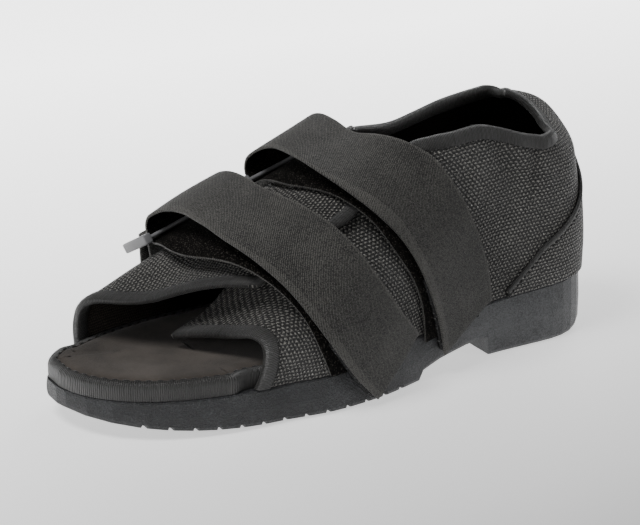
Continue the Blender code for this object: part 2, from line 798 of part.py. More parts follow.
def build_counter(material, collection):
    """Heel counter over the upper's back, with a raised rib along its edge."""
    columns = []
    side_shares = np.linspace(COUNTER_EDGE[-1][0], COUNTER_EDGE[0][0], COUNTER_SIDE_COLUMNS)
    for share in side_shares:
        columns.append((section(1, share, 0.0), section, (1, share), read_table(COUNTER_EDGE, 1, share)))
    for turn in np.linspace(0.0, 1.0, HEEL_COLUMNS)[1:-1]:
        edge = read_table(COUNTER_BACK, 1, 1.0 - abs(2.0 * turn - 1.0))
        columns.append((heel_section(turn, 0.0), heel_section, (turn,), edge))
    for share in side_shares[::-1]:
        columns.append((section(-1, share, 0.0), section, (-1, share), read_table(COUNTER_EDGE, 1, share)))
    outer, inner = [], []
    for skin, surface, at, edge in columns:
        top = distance_at_height(skin, edge * HEEL_TAB_HEIGHT)
        rib = top - COUNTER_RIB_WIDTH
        places = list(np.linspace(0.0, rib, COUNTER_ROWS))
        places += [rib + 0.5 * COUNTER_RIB, top - EDGE_EASE * COUNTER_RIB, top]
        raises = [0.0] * COUNTER_ROWS + [COUNTER_RIB, COUNTER_RIB, EDGE_EASE * COUNTER_RIB]
        whole = measure(skin)[-1]
        out_column, in_column = [], []
        for place, lift in zip(places, raises):
            for inset, column in ((-GAP - COUNTER - lift, out_column), (-GAP, in_column)):
                points = surface(*at, inset)
                column.append(along(points, place / whole * measure(points)[-1]))
        outer.append(out_column)
        inner.append(in_column)
    return add_object("heel_counter", *loft(sheet_rings(outer, inner)), material, collection)


def build_strap(name, under, ring, over, webbing, hook, collection):
    """Strap from its seam through its ring to its end, and the hook patch under that end."""
    cut = math.tan(math.radians(-under[0][4]))
    grid, normal = ribbon(strap_rows(under, ring, over), STRAP_WIDTH, STRAP_STEP, cut)
    half = 0.5 * STRAP
    add_object(name + "_strap", *loft(slab(grid, normal, -half, half)), webbing, collection)
    count = int(round(HOOK_LENGTH / STRAP_STEP)) + 1
    patch, outward = grid[-count:].copy(), normal[-count:]
    across = patch[:, -1] - patch[:, 0]
    across *= HOOK_OVERHANG / np.linalg.norm(across, axis=1, keepdims=True)
    patch[:, 0] -= across
    patch[:, -1] += across
    rings = slab(patch, outward, -half - GAP - STRAP, -half - GAP)
    add_object(name + "_hook_patch", *loft(rings), hook, collection)


def ring_frame(ring):
    """Middles of a ring's two rods, the direction along them and the one from one to the other."""
    share, part, skew, droop, depth = ring
    girth = wrap(share, part, 0.0)[1]
    turn = math.radians(skew)
    room = FOLD_RADIUS - 0.5 * STRAP - GAP - 0.5 * RING_ROD
    seat = math.radians(RING_SEAT)
    near = wrap(share, part + room * math.cos(seat) / girth, FOLD_LIFT - room * math.sin(seat))[0]
    reach = 0.5 * STRAP_WIDTH
    ends = []
    for end in (reach, -reach):
        across = end * math.cos(turn) / LENGTH, end * math.sin(turn) / girth
        ends.append(wrap(share + across[0], part + across[1], FOLD_LIFT)[0])
    direction = (ends[0] - ends[1]) / np.linalg.norm(ends[0] - ends[1])
    fall = math.radians(droop)
    deep = np.array([0.0, -math.cos(fall), -math.sin(fall)])
    deep = deep - direction * float(deep @ direction)
    deep /= np.linalg.norm(deep)
    return near, near + depth * RING_DEPTH * deep, direction, deep


def build_ring(name, ring, material, collection):
    """Moulded rectangular ring with rounded corners."""
    near, far, direction, deep = ring_frame(ring)
    half = 0.5 * STRAP_WIDTH + RING_SIDE_PLAY + 0.5 * RING_ROD
    half_depth = 0.5 * np.linalg.norm(far - near)
    middle = 0.5 * (near + far)
    points = []
    for u, v, first in ((1, 1, 0.0), (-1, 1, 90.0), (-1, -1, 180.0), (1, -1, 270.0)):
        for step in range(4):
            angle = math.radians(first + 30.0 * step)
            across = u * (half - RING_CORNER) + RING_CORNER * math.cos(angle)
            along_depth = v * (half_depth - RING_CORNER) + RING_CORNER * math.sin(angle)
            points.append(middle + direction * across + deep * along_depth)
    curve = bpy.data.curves.new(name, "CURVE")
    curve.dimensions = "3D"
    curve.bevel_depth = 0.5 * RING_ROD
    curve.bevel_resolution = 2
    spline = curve.splines.new("POLY")
    spline.points.add(len(points) - 1)
    for point, place in zip(spline.points, points):
        point.co = (*map(float, place), 1.0)
    spline.use_cyclic_u = True
    guide = bpy.data.objects.new(name + "_curve", curve)
    collection.objects.link(guide)
    bpy.context.view_layer.update()
    mesh = bpy.data.meshes.new_from_object(guide.evaluated_get(bpy.context.evaluated_depsgraph_get()))
    bpy.data.objects.remove(guide, do_unlink=True)
    mesh.name = name
    mesh.materials.clear()
    mesh.materials.append(material)
    mesh.shade_smooth()
    part = bpy.data.objects.new(name, mesh)
    collection.objects.link(part)


def surface_across(share, part, lift, direction):
    """A direction laid flat on the surface above the closed flaps."""
    forward = wrap(share + FLAT_REACH, part, lift)[0] - wrap(share - FLAT_REACH, part, lift)[0]
    down = wrap(share, part + FLAT_REACH, lift)[0] - wrap(share, part - FLAT_REACH, lift)[0]
    normal = np.cross(forward, down)
    normal /= np.linalg.norm(normal)
    flat = direction - normal * float(direction @ normal)
    return flat / np.linalg.norm(flat)


def build_tab(name, ring, material, collection):
    """Tab of webbing from the right side's seam up round the ring's lower rod and back inside."""
    _, far, direction, _ = ring_frame(ring)
    share = far[0] / LENGTH + 0.5
    rows = []
    for part, layers in TAB_RUN:
        at = (share, part, layer_lift(0.0, layers))
        rows.append((*wrap(*at)[0], *surface_across(*at, direction)))
    rise = far - np.array(rows[-1][:3])
    rise = rise - direction * float(rise @ direction)
    rise /= np.linalg.norm(rise)
    outward = np.cross(rise, direction)
    outward = outward if outward[1] < 0.0 else -outward
    bend = 0.5 * (RING_ROD + STRAP) + GAP
    for angle in np.linspace(0.0, math.pi, FOLD_STEPS):
        spot = far + bend * (rise * math.sin(angle) + outward * math.cos(angle))
        rows.append((*spot, *direction))
    rows.append((*(far - bend * outward - TAB_RETURN * rise), *direction))
    steps = np.linspace(0.0, len(rows) - 1.0, ROW_READINGS * len(rows))
    travelled = measure(np.array([read_rows(rows, step)[:3] for step in steps]))
    stations = np.linspace(0.0, travelled[-1], int(round(travelled[-1] / TAB_STEP)) + 1)
    grid = []
    for place in stations:
        row = np.array(read_rows(rows, np.interp(place, travelled, steps)))
        grid.append([row[:3] + part * TAB_WIDTH * row[3:] for part in (-0.5, 0.0, 0.5)])
    grid = np.array(grid)
    normal = surface_normals(grid)
    add_object(name, *loft(slab(grid, normal, -0.5 * STRAP, 0.5 * STRAP)), material, collection)


def clear_scene():
    """Remove every object, so that the model starts from nothing."""
    for thing in list(bpy.data.objects):
        bpy.data.objects.remove(thing, do_unlink=True)


def centre_on_floor(collection):
    """Move every part so that the origin is under the middle of the shoe's box, on the floor."""
    places = np.array([vertex.co for part in collection.objects for vertex in part.data.vertices])
    low, high = places.min(axis=0), places.max(axis=0)
    shift = Vector((-0.5 * (low[0] + high[0]), -0.5 * (low[1] + high[1]), -low[2]))
    for part in collection.objects:
        part.data.transform(Matrix.Translation(shift))


def main():
    """Build the shoe in a collection of its own."""
    clear_scene()
    shoe = bpy.data.collections.new("post_operative_shoe")
    bpy.context.scene.collection.children.link(shoe)
    rubber = new_material("sole_rubber", (0.030, 0.032, 0.036), 0.62)
    suede = new_material("footbed_cloth", (0.035, 0.033, 0.031), 0.90)
    mesh_cloth = new_material("upper_mesh", (0.022, 0.022, 0.022), 0.80)
    build_outsole(rubber, shoe)
    build_footbed(suede, shoe)
    build_upper(mesh_cloth, shoe)
    build_counter(mesh_cloth, shoe)
    webbing = new_material("strap_webbing", (0.030, 0.030, 0.030), 0.75)
    hook = new_material("hook_tape", (0.012, 0.012, 0.012), 0.55)
    plastic = new_material("ring_plastic", (0.250, 0.255, 0.260), 0.35)
    for name, under, ring, over in (("front", FRONT_UNDER, FRONT_RING, FRONT_OVER),
                                    ("back", BACK_UNDER, BACK_RING, BACK_OVER)):
        build_strap(name, under, ring, over, webbing, hook, shoe)
        build_ring(name + "_ring", ring, plastic, shoe)
        build_tab(name + "_ring_tab", ring, webbing, shoe)
    centre_on_floor(shoe)


main()
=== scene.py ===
import math

import bmesh
import bpy
import numpy as np
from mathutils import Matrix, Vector


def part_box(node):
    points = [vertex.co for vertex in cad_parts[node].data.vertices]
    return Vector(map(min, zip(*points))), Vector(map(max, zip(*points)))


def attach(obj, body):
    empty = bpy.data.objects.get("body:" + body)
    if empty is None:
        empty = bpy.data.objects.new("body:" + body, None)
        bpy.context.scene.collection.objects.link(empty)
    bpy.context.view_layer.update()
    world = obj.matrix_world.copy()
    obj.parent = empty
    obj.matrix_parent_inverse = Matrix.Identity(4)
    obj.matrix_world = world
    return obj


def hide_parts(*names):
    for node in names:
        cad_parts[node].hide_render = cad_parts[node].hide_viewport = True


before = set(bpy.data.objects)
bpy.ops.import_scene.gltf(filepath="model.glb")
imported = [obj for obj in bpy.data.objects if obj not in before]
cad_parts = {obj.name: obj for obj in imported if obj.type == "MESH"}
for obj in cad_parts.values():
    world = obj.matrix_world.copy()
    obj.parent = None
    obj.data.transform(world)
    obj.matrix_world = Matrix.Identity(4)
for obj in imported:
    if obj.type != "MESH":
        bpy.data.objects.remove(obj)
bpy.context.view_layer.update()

bpy.ops.object.select_all(action="DESELECT")

# Last and sole, in metres
LENGTH = 0.290
BALL_WIDTH = 0.098
HEEL_WIDTH = 0.069
HEEL_SOLE = 0.0315
FOREFOOT_SOLE = 0.0182
SOLE_FLARE = 0.0012
SOLE_SIDE = 0.030
FOOTBED = 0.0092
HEEL_TAB_HEIGHT = 0.1260
INSTEP_HEIGHT = 0.1050
TOE_BOX_HEIGHT = 0.0525
WALL = 0.0025
BINDING_WIDTH = 0.0068
BINDING_RAISE = 0.0009
COUNTER = 0.0011
COUNTER_RIB = 0.0034
STRAP_WIDTH = 0.036
STRAP = 0.0015
STRAP_BOW = 0.0130
FOLD_RADIUS = 0.0070
FOLD_LIFT = 0.0108
HOOK_LENGTH = 0.044
HOOK_OVERHANG = 0.0020
RING_ROD = 0.0036
RING_DEPTH = 0.0190
RING_SEAT = 55.0
TAB_WIDTH = 0.025
TAB_RETURN = 0.010
NORMAL_REACH = 0.003
SEAM_CUT_RUN = 0.060
GAP = 0.0003
LAP_GAP = 0.0005
UPPER_INSET = 0.0006
FOOTBED_TOE_INSET = 0.0007
HEEL_CENTRE = 0.135
TOE_START = 0.68
HEEL_SQUARENESS = 2.3
ROLL_IN = 0.0165
ROLL_RUN = 0.020
ROLL_START = (0.0, 0.30)
ROLL_END = (0.78, 1.0)
TOE_TIP_SHIFT = -0.075
LEFT_TOE_SQUARENESS = 2.25
RIGHT_TOE_SQUARENESS = 1.85
LEFT_SAG = 0.0200
RIGHT_DROOP = 0.0075

# Half widths: share of LENGTH, part of HEEL_WIDTH, left part and right part of BALL_WIDTH
OUTLINE = (
    (0.000, 0.470, 0.000, 0.000),
    (0.135, 0.485, 0.000, 0.000),
    (0.250, 0.500, 0.000, 0.000),
    (0.380, 0.250, 0.250, 0.220),
    (0.500, 0.000, 0.525, 0.425),
    (0.600, 0.000, 0.553, 0.440),
    (0.680, 0.000, 0.525, 0.450),
    (1.000, 0.000, 0.525, 0.450),
)

# Top of the rubber: share of LENGTH, rise from FOREFOOT_SOLE to HEEL_SOLE
SOLE_TOP = (
    (0.00, 1.00),
    (0.22, 0.79),
    (0.42, 0.36),
    (0.62, 0.02),
    (0.80, 0.00),
    (1.00, 0.04),
)

# Ridge of the upper: share of LENGTH, parts of HEEL_TAB_HEIGHT, INSTEP_HEIGHT and
# TOE_BOX_HEIGHT, and how square the section is
RIDGE = (
    (0.000, 1.00, 0.00, 0.00, 4.0),
    (0.135, 1.03, 0.00, 0.00, 4.0),
    (0.250, 1.07, 0.00, 0.00, 4.0),
    (0.350, 0.60, 0.50, 0.00, 3.3),
    (0.420, 0.25, 0.82, 0.00, 2.7),
    (0.500, 0.00, 1.00, 0.00, 2.5),
    (0.600, 0.00, 0.875, 0.00, 2.5),
    (0.700, 0.00, 0.75, 0.00, 2.7),
    (0.780, 0.00, 0.30, 0.69, 3.1),
    (0.850, 0.00, 0.00, 1.10, 3.6),
    (0.930, 0.00, 0.00, 0.93, 4.0),
)

# Collar edge along each side: share of LENGTH, left and right height in HEEL_TAB_HEIGHT
COLLAR = (
    (0.135, 0.860, 0.965),
    (0.175, 0.883, 0.945),
    (0.217, 0.917, 0.922),
    (0.260, 0.944, 0.890),
    (0.317, 0.936, 0.856),
    (0.356, 0.930, 0.860),
    (0.400, 0.900, 0.878),
    (0.430, 0.830, 0.890),
)

# Collar edge round the back: turn from left (0) to right (1), height in HEEL_TAB_HEIGHT
BACK_COLLAR = (
    (0.00, 0.860),
    (0.25, 0.885),
    (0.40, 0.935),
    (0.50, 0.980),
    (0.62, 0.985),
    (0.80, 0.968),
    (1.00, 0.965),
)

# Edge of the heel counter along each side: share of LENGTH, height in HEEL_TAB_HEIGHT
COUNTER_EDGE = (
    (0.135, 0.415),
    (0.160, 0.362),
    (0.185, 0.310),
    (0.209, 0.262),
)

# Edge of the heel counter round the back: turn from its side (0) to its back (1), height
COUNTER_BACK = (
    (0.00, 0.415),
    (0.25, 0.480),
    (0.50, 0.560),
    (0.72, 0.660),
    (0.88, 0.735),
    (1.00, 0.750),
)

# Lean of the heel's back: part of HEEL_TAB_HEIGHT, lean forward as part of HEEL_TAB_HEIGHT
HEEL_LEAN = (
    (0.22, -0.012),
    (0.35, -0.016),
    (0.55, 0.004),
    (0.70, 0.026),
    (0.85, 0.034),
    (1.00, 0.034),
)

# Reach of each flap in girth shares from its own side's foot: share of LENGTH, left, right
FLAP_REACH = (
    (0.430, 0.385, 0.420),
    (0.465, 0.420, 0.540),
    (0.500, 0.455, 0.640),
    (0.560, 0.470, 0.672),
    (0.640, 0.480, 0.690),
    (0.705, 0.490, 0.690),
    (0.930, 0.500, 0.690),
)

# Front edge of each flap: part of its reach, share of LENGTH
LEFT_FRONT = (
    (0.00, 0.728),
    (0.10, 0.716),
    (0.22, 0.709),
    (0.38, 0.718),
    (0.55, 0.738),
    (0.75, 0.768),
    (1.00, 0.800),
)
RIGHT_FRONT = (
    (0.00, 0.920),
    (0.25, 0.922),
    (0.38, 0.915),
    (0.52, 0.888),
    (0.68, 0.840),
    (0.84, 0.774),
    (1.00, 0.700),
)

# Straps from their seam on the left to their ring and back over to their end on the left:
# share of LENGTH, girth share from the left foot, bow over the instep, layers below, skew, tilt
FRONT_UNDER = (
    (0.515, -0.045, 0.00, 0.0, -32, 0.0),
    (0.541, 0.010, 0.00, 0.0, -34, 0.0),
    (0.566, 0.105, 0.00, 0.0, -34, 0.0),
    (0.592, 0.200, 0.00, 0.0, -33, 0.0),
    (0.621, 0.275, 0.00, 0.0, -34, 0.0),
    (0.655, 0.350, 0.00, 0.0, -36, 0.0),
    (0.690, 0.435, 0.00, 0.0, -36, 0.0),
    (0.716, 0.520, 0.00, 0.0, -32, 0.0),
    (0.724, 0.595, 0.06, 0.0, -18, 0.0),
)
FRONT_OVER = (
    (0.712, 0.645, 1.10, 1.15, -12, 0.0),
    (0.703, 0.590, 1.05, 1.15, -17, 0.0),
    (0.695, 0.515, 0.84, 1.15, -21, 0.0),
    (0.683, 0.435, 0.56, 1.15, -25, 0.0),
    (0.657, 0.365, 0.32, 1.15, -28, 0.0),
    (0.619, 0.285, 0.12, 1.15, -30, 0.0),
    (0.588, 0.205, 0.05, 2.0, -33, 0.0),
    (0.550, 0.115, 0.00, 2.0, -38, 0.0),
    (0.513, 0.037, 0.00, 2.0, -41, 0.0),
    (0.473, -0.030, 0.00, 2.0, -42, 0.0),
)
BACK_UNDER = (
    (0.336, -0.030, 0.00, 0.0, -12, 0.0),
    (0.341, 0.020, 0.00, 0.0, -14, 0.0),
    (0.349, 0.085, 0.00, 0.0, -16, 0.0),
    (0.370, 0.155, 0.00, 0.0, -20, 0.0),
    (0.412, 0.250, 0.00, 0.0, -25, 0.0),
    (0.450, 0.340, 0.06, 0.0, -27, 0.0),
    (0.483, 0.410, 0.10, 0.0, -25, 0.0),
    (0.513, 0.480, 0.06, 0.0, -18, 0.0),
    (0.530, 0.535, 0.10, 0.0, -12, 0.0),
)
BACK_OVER = (
    (0.528, 0.580, 1.08, 1.15, -12, 0.10),
    (0.522, 0.520, 0.80, 1.15, -17, 0.40),
    (0.507, 0.462, 0.42, 1.15, -23, 0.58),
    (0.481, 0.408, 0.24, 1.15, -28, 0.38),
    (0.450, 0.355, 0.14, 1.15, -31, 0.20),
    (0.417, 0.300, 0.06, 1.15, -31, 0.0),
    (0.388, 0.240, 0.00, 1.7, -29, 0.0),
    (0.363, 0.180, 0.00, 2.1, -26, 0.0),
    (0.338, 0.112, 0.00, 2.0, -25, 0.0),
    (0.319, 0.045, 0.00, 2.0, -27, 0.0),
    (0.309, -0.018, 0.00, 2.0, -31, 0.0),
)

# Ring of each strap: share of LENGTH and girth share of its fold's middle, skew, droop,
# part of RING_DEPTH
FRONT_RING = (0.720, 0.674, -8, 26, 0.80)
BACK_RING = (0.536, 0.634, -8, 48, 1.00)

# Tab of each ring up the right side: girth share, layers below
TAB_RUN = (
    (0.972, 0.0),
    (0.935, 0.0),
    (0.900, 0.0),
    (0.850, 1.0),
)

# Soft creases of the upper: start and end as share of LENGTH and part of HEEL_TAB_HEIGHT,
# depth in WALL and half width in metres; a negative depth is a ridge
CREASES = (
    (0.235, 0.880, 0.180, 0.660, 0.85, 0.0045),
    (0.195, 0.860, 0.145, 0.700, -0.60, 0.0050),
    (0.150, 0.840, 0.160, 0.640, 0.75, 0.0040),
    (0.185, 0.640, 0.250, 0.480, 0.40, 0.0070),
    (0.265, 0.860, 0.290, 0.520, -0.35, 0.0075),
    (0.300, 0.820, 0.330, 0.420, 0.35, 0.0080),
    (0.480, 0.420, 0.560, 0.300, 0.30, 0.0075),
    (0.640, 0.360, 0.700, 0.240, 0.30, 0.0060),
)

# Camera: turn and height of its view in degrees, distance, lens and target, from the sole
CAMERA_TURN = 150.0
CAMERA_RISE = 20.33
CAMERA_DISTANCE = 0.948
CAMERA_LENS = 109.2
CAMERA_TARGET = (0.0039, 0.0, 0.0531)

# Painted light: glow of the pale floor near the camera and far from it, the floor emitting light though it is no lamp
FLOOR_GLOW_NEAR = 0.0
FLOOR_GLOW_FAR = 3.5


def smoothstep(low, high, value):
    t = np.clip((value - low) / (high - low), 0.0, 1.0)
    return t * t * (3.0 - 2.0 * t)


def read_table(table, column, place):
    """Value of one column at a place, on a smooth curve through its rows."""
    x = [row[0] for row in table]
    y = [row[column] for row in table]
    at = min(max(float(place), x[0]), x[-1])
    i = 0
    while i < len(x) - 2 and at >= x[i + 1]:
        i += 1

    def tangent(k):
        if k == 0:
            return (y[1] - y[0]) / (x[1] - x[0])
        if k == len(x) - 1:
            return (y[-1] - y[-2]) / (x[-1] - x[-2])
        before, after = x[k] - x[k - 1], x[k + 1] - x[k]
        slope_before, slope_after = (y[k] - y[k - 1]) / before, (y[k + 1] - y[k]) / after
        return (slope_before * after + slope_after * before) / (before + after)

    step = x[i + 1] - x[i]
    t = (at - x[i]) / step
    return ((2 * t**3 - 3 * t**2 + 1) * y[i] + (t**3 - 2 * t**2 + t) * step * tangent(i)
            + (3 * t**2 - 2 * t**3) * y[i + 1] + (t**3 - t**2) * step * tangent(i + 1))


def lengthwise(share):
    return (share - 0.5) * LENGTH


def half_width(side, share, inset=0.0):
    """Half width on one side of the last, set in evenly from the sole's edge: 1 left, -1 right."""
    column = 2 if side > 0 else 3

    def body(at):
        return read_table(OUTLINE, 1, at) * HEEL_WIDTH + read_table(OUTLINE, column, at) * BALL_WIDTH - inset

    if share < HEEL_CENTRE:
        back = min((HEEL_CENTRE - share) * LENGTH / (HEEL_CENTRE * LENGTH - inset), 1.0)
        return body(HEEL_CENTRE) * (1.0 - back**HEEL_SQUARENESS) ** (1.0 / HEEL_SQUARENESS)
    if share > TOE_START:
        power = LEFT_TOE_SQUARENESS if side > 0 else RIGHT_TOE_SQUARENESS
        tip = side * TOE_TIP_SHIFT * BALL_WIDTH
        front = min((share - TOE_START) * LENGTH / ((1.0 - TOE_START) * LENGTH - inset), 1.0)
        return tip + (body(TOE_START) - tip) * (1.0 - front**power) ** (1.0 / power)
    return body(share)


def sole_top(share):
    return FOREFOOT_SOLE + (HEEL_SOLE - FOREFOOT_SOLE) * read_table(SOLE_TOP, 1, share)


def ridge(share):
    """Height of the upper's ridge over one section of the last."""
    return (read_table(RIDGE, 1, share) * HEEL_TAB_HEIGHT
            + read_table(RIDGE, 2, share) * INSTEP_HEIGHT
            + read_table(RIDGE, 3, share) * TOE_BOX_HEIGHT)


def arch_curve(radius, rise, power, points=72):
    """Quarter of a rounded box: spread and height from its foot to its crown."""
    angle = np.linspace(0.0, math.pi / 2.0, points)
    spread = radius * np.clip(np.cos(angle), 0.0, 1.0) ** (2.0 / power)
    height = rise * np.clip(np.sin(angle), 0.0, 1.0) ** (2.0 / power)
    return spread, height


def section(side, share, inset, drop=0.0):
    """Points of the upper's section from its foot on one side, over the ridge, to the other."""
    foot = sole_top(share) + GAP
    rise = ridge(share) - drop - inset - foot
    power = read_table(RIDGE, 4, share)
    near, near_up = arch_curve(half_width(side, share, UPPER_INSET + inset), rise, power)
    far, far_up = arch_curve(half_width(-side, share, UPPER_INSET + inset), rise, power)
    y = side * np.concatenate([near, -far[-2::-1]])
    z = foot + np.concatenate([near_up, far_up[-2::-1]])
    return np.stack([np.full(len(y), lengthwise(share)), y, z], axis=1)


def heel_section(turn, inset):
    """Points of the upper's section round the heel: the turn runs from left (0) to right (1)."""
    angle = math.pi * (0.5 + turn)
    direction = np.array([math.cos(angle), math.sin(angle)])
    share = HEEL_CENTRE * (1.0 - abs(direction[0]))
    foot = sole_top(share) + GAP
    wide = half_width(1, HEEL_CENTRE, UPPER_INSET + inset)
    deep = HEEL_CENTRE * LENGTH - UPPER_INSET - inset
    power = HEEL_SQUARENESS
    reach = (abs(direction[0] / deep) ** power + abs(direction[1] / wide) ** power) ** (-1.0 / power)
    spread, height = arch_curve(reach, ridge(share) - inset - foot, read_table(RIDGE, 4, share))
    z = foot + height
    lean = np.array([read_table(HEEL_LEAN, 1, p) for p in z / HEEL_TAB_HEIGHT]) * HEEL_TAB_HEIGHT
    x = lengthwise(HEEL_CENTRE) + spread * direction[0] + lean * direction[0] ** 2
    return np.stack([x, spread * direction[1], z], axis=1)


def measure(points):
    """Distance of each point along a line of points."""
    return np.concatenate(([0.0], np.cumsum(np.linalg.norm(np.diff(points, axis=0), axis=1))))


def along(points, distance):
    travelled = measure(points)
    return np.array([np.interp(distance, travelled, points[:, k]) for k in range(3)])


def distance_at_height(points, height):
    top = int(np.argmax(points[:, 2]))
    return float(np.interp(height, points[: top + 1, 2], measure(points)[: top + 1]))


def flap_point(side, share, part, inset=0.0):
    """Point of a flap at a girth share from its own foot."""
    drop = 0.0
    if side > 0:
        lap = WALL + BINDING_RAISE + LAP_GAP
        inset = inset + smoothstep(0.40, 0.47, share) * smoothstep(0.12, 0.30, part) * lap
        drop = LEFT_SAG * smoothstep(0.575, 0.755, share)
    points = section(side, share, inset, drop)
    point = along(points, part * measure(points)[-1])
    left_part = part if side > 0 else 1.0 - part
    front = smoothstep(0.56, 0.74, share)
    across = smoothstep(0.12, 0.32, left_part) * (1.0 - smoothstep(0.50, 0.74, left_part))
    point[2] -= RIGHT_DROOP * front * across
    return point


def flap_reach(side, share):
    """Girth share at which a flap ends: at the collar, and beyond the throat at its lap."""
    points = section(side, share, 0.0)
    column = 1 if side > 0 else 2
    height = read_table(COLLAR, column, share) * HEEL_TAB_HEIGHT
    collar = distance_at_height(points, height) / measure(points)[-1]
    lap = read_table(FLAP_REACH, column, share)
    return collar + (lap - collar) * smoothstep(0.40, 0.43, share)


def flap_columns(side, columns, rows):
    """Outer points of one flap from the heel's centre to its front edge."""
    front = LEFT_FRONT if side > 0 else RIGHT_FRONT
    top_span = read_table(front, 1, 1.0) - HEEL_CENTRE
    grid = []
    for position in np.linspace(0.0, 1.0, columns):
        nominal = HEEL_CENTRE + top_span * position
        reach = flap_reach(side, nominal)
        column = []
        for part in np.linspace(0.0, 1.0, rows):
            share = HEEL_CENTRE + (read_table(front, 1, part) - HEEL_CENTRE) * position
            column.append(flap_point(side, share, part * reach))
        grid.append(column)
    return grid


def roll_in(turn, below):
    """How far the heel's rim rolls inwards at a distance below it, forwards and across."""
    around = smoothstep(*ROLL_START, turn) * (1.0 - smoothstep(*ROLL_END, turn))
    push = ROLL_IN * around * max(1.0 - below / ROLL_RUN, 0.0) ** 2
    angle = math.pi * (0.5 + turn)
    return push * np.array([-math.cos(angle), -0.5 * math.sin(angle), 0.0])


def heel_columns(columns, rows, edge=None, lift=0.0):
    """Outer points round the heel, up to the collar or to another edge."""
    grid = []
    for turn in np.linspace(0.0, 1.0, columns):
        skin = heel_section(turn, -lift)
        height = read_table(BACK_COLLAR, 1, turn) if edge is None else edge(turn)
        top = distance_at_height(skin, height * HEEL_TAB_HEIGHT)
        column = []
        for part in np.linspace(0.0, 1.0, rows):
            roll = roll_in(turn, top * (1.0 - part)) if edge is None else 0.0
            column.append(along(skin, top * part) + roll)
        grid.append(column)
    return grid


def wrap(share, part, lift):
    """Point above the closed flaps at a girth share from the left foot, and the girth there."""
    skin = section(1, share, 0.0)
    travelled = measure(skin)
    girth = travelled[-1]
    down = np.array([0.0, 0.0, SOLE_SIDE])
    whole = np.concatenate([[skin[0] - down], skin, [skin[-1] - down]])
    travelled = np.concatenate([[0.0], travelled + SOLE_SIDE, [girth + 2.0 * SOLE_SIDE]])
    place = part * girth + SOLE_SIDE

    def at(distance):
        return np.array([np.interp(distance, travelled, whole[:, k]) for k in range(3)])

    run = at(place + NORMAL_REACH) - at(place - NORMAL_REACH)
    outward = np.array([0.0, run[2], -run[1]]) / np.linalg.norm(run)
    return at(place) + outward * lift, girth


def layer_lift(bow, layers):
    return 0.5 * STRAP + GAP + BINDING_RAISE + layers * (STRAP + GAP) + bow * STRAP_BOW


def strap_rows(under, ring, over):
    """Rows of a whole strap: share, girth share, lift, skew, rise of its front edge."""
    def plain(rows):
        return [(share, part, layer_lift(bow, layers), skew, tilt * STRAP_BOW)
                for share, part, bow, layers, skew, tilt in rows]

    share, part, skew = ring[:3]
    girth = wrap(share, part, 0.0)[1]
    fold = []
    for angle in np.linspace(-0.5 * math.pi, 0.5 * math.pi, 7):
        out = FOLD_RADIUS * math.cos(angle) / girth
        fold.append((share, part + out, FOLD_LIFT + FOLD_RADIUS * math.sin(angle), skew, 0.0))
    return plain(under) + fold + plain(over)


def read_rows(rows, step):
    table = [(index, *row) for index, row in enumerate(rows)]
    return [read_table(table, column, step) for column in range(1, len(rows[0]) + 1)]


def ribbon(rows, width, spacing, columns, seam_cut=0.0):
    """Points across a strap of even width at each station along it."""
    steps = np.linspace(0.0, len(rows) - 1.0, 12 * len(rows))
    middle = np.array([wrap(*read_rows(rows, step)[:3])[0] for step in steps])
    travelled = measure(middle)
    stations = np.linspace(0.0, travelled[-1], int(round(travelled[-1] / spacing)) + 1)
    grid = []
    for place in stations:
        line = []
        for part in np.linspace(-0.5, 0.5, columns):
            late = (part + 0.5) * seam_cut * width * max(1.0 - place / SEAM_CUT_RUN, 0.0)
            row = read_rows(rows, np.interp(place + late, travelled, steps))
            share, girth_part, lift, skew, tilt = row
            girth = wrap(share, girth_part, 0.0)[1]
            slope = (ridge(share - 0.02) - ridge(share + 0.02)) / (0.04 * LENGTH)
            stretch = math.sqrt(1.0 + (slope * math.sin(math.pi * np.clip(girth_part, 0.0, 1.0))) ** 2)
            turn = math.radians(skew)
            share += part * width * math.cos(turn) / (stretch * LENGTH)
            girth_part += part * width * math.sin(turn) / girth
            line.append(wrap(share, girth_part, lift + part * tilt)[0])
        grid.append(line)
    return np.array(grid)


def grid_normals(grid):
    """Direction outwards at each point of a grid whose rows run across a strap."""
    normal = np.cross(np.gradient(grid, axis=1), np.gradient(grid, axis=0))
    return normal / np.linalg.norm(normal, axis=2, keepdims=True)


def ring_frame(ring):
    """Middles of a ring's two rods and the direction along them."""
    share, part, skew, droop, depth = ring
    girth = wrap(share, part, 0.0)[1]
    turn = math.radians(skew)
    seat = math.radians(RING_SEAT)
    room = FOLD_RADIUS - 0.5 * STRAP - GAP - 0.5 * RING_ROD
    near = wrap(share, part + room * math.cos(seat) / girth, FOLD_LIFT - room * math.sin(seat))[0]
    reach = 0.5 * STRAP_WIDTH
    ends = []
    for end in (reach, -reach):
        across = end * math.cos(turn) / LENGTH, end * math.sin(turn) / girth
        ends.append(wrap(share + across[0], part + across[1], FOLD_LIFT)[0])
    direction = (ends[0] - ends[1]) / np.linalg.norm(ends[0] - ends[1])
    fall = math.radians(droop)
    deep = np.array([0.0, -math.cos(fall), -math.sin(fall)])
    deep = deep - direction * float(deep @ direction)
    deep /= np.linalg.norm(deep)
    return near, near + depth * RING_DEPTH * deep, direction


def surface_across(share, part, lift, direction):
    """A direction laid flat on the surface above the closed flaps."""
    forward = wrap(share + 0.01, part, lift)[0] - wrap(share - 0.01, part, lift)[0]
    down = wrap(share, part + 0.01, lift)[0] - wrap(share, part - 0.01, lift)[0]
    normal = np.cross(forward, down)
    normal /= np.linalg.norm(normal)
    flat = direction - normal * float(direction @ normal)
    return flat / np.linalg.norm(flat)


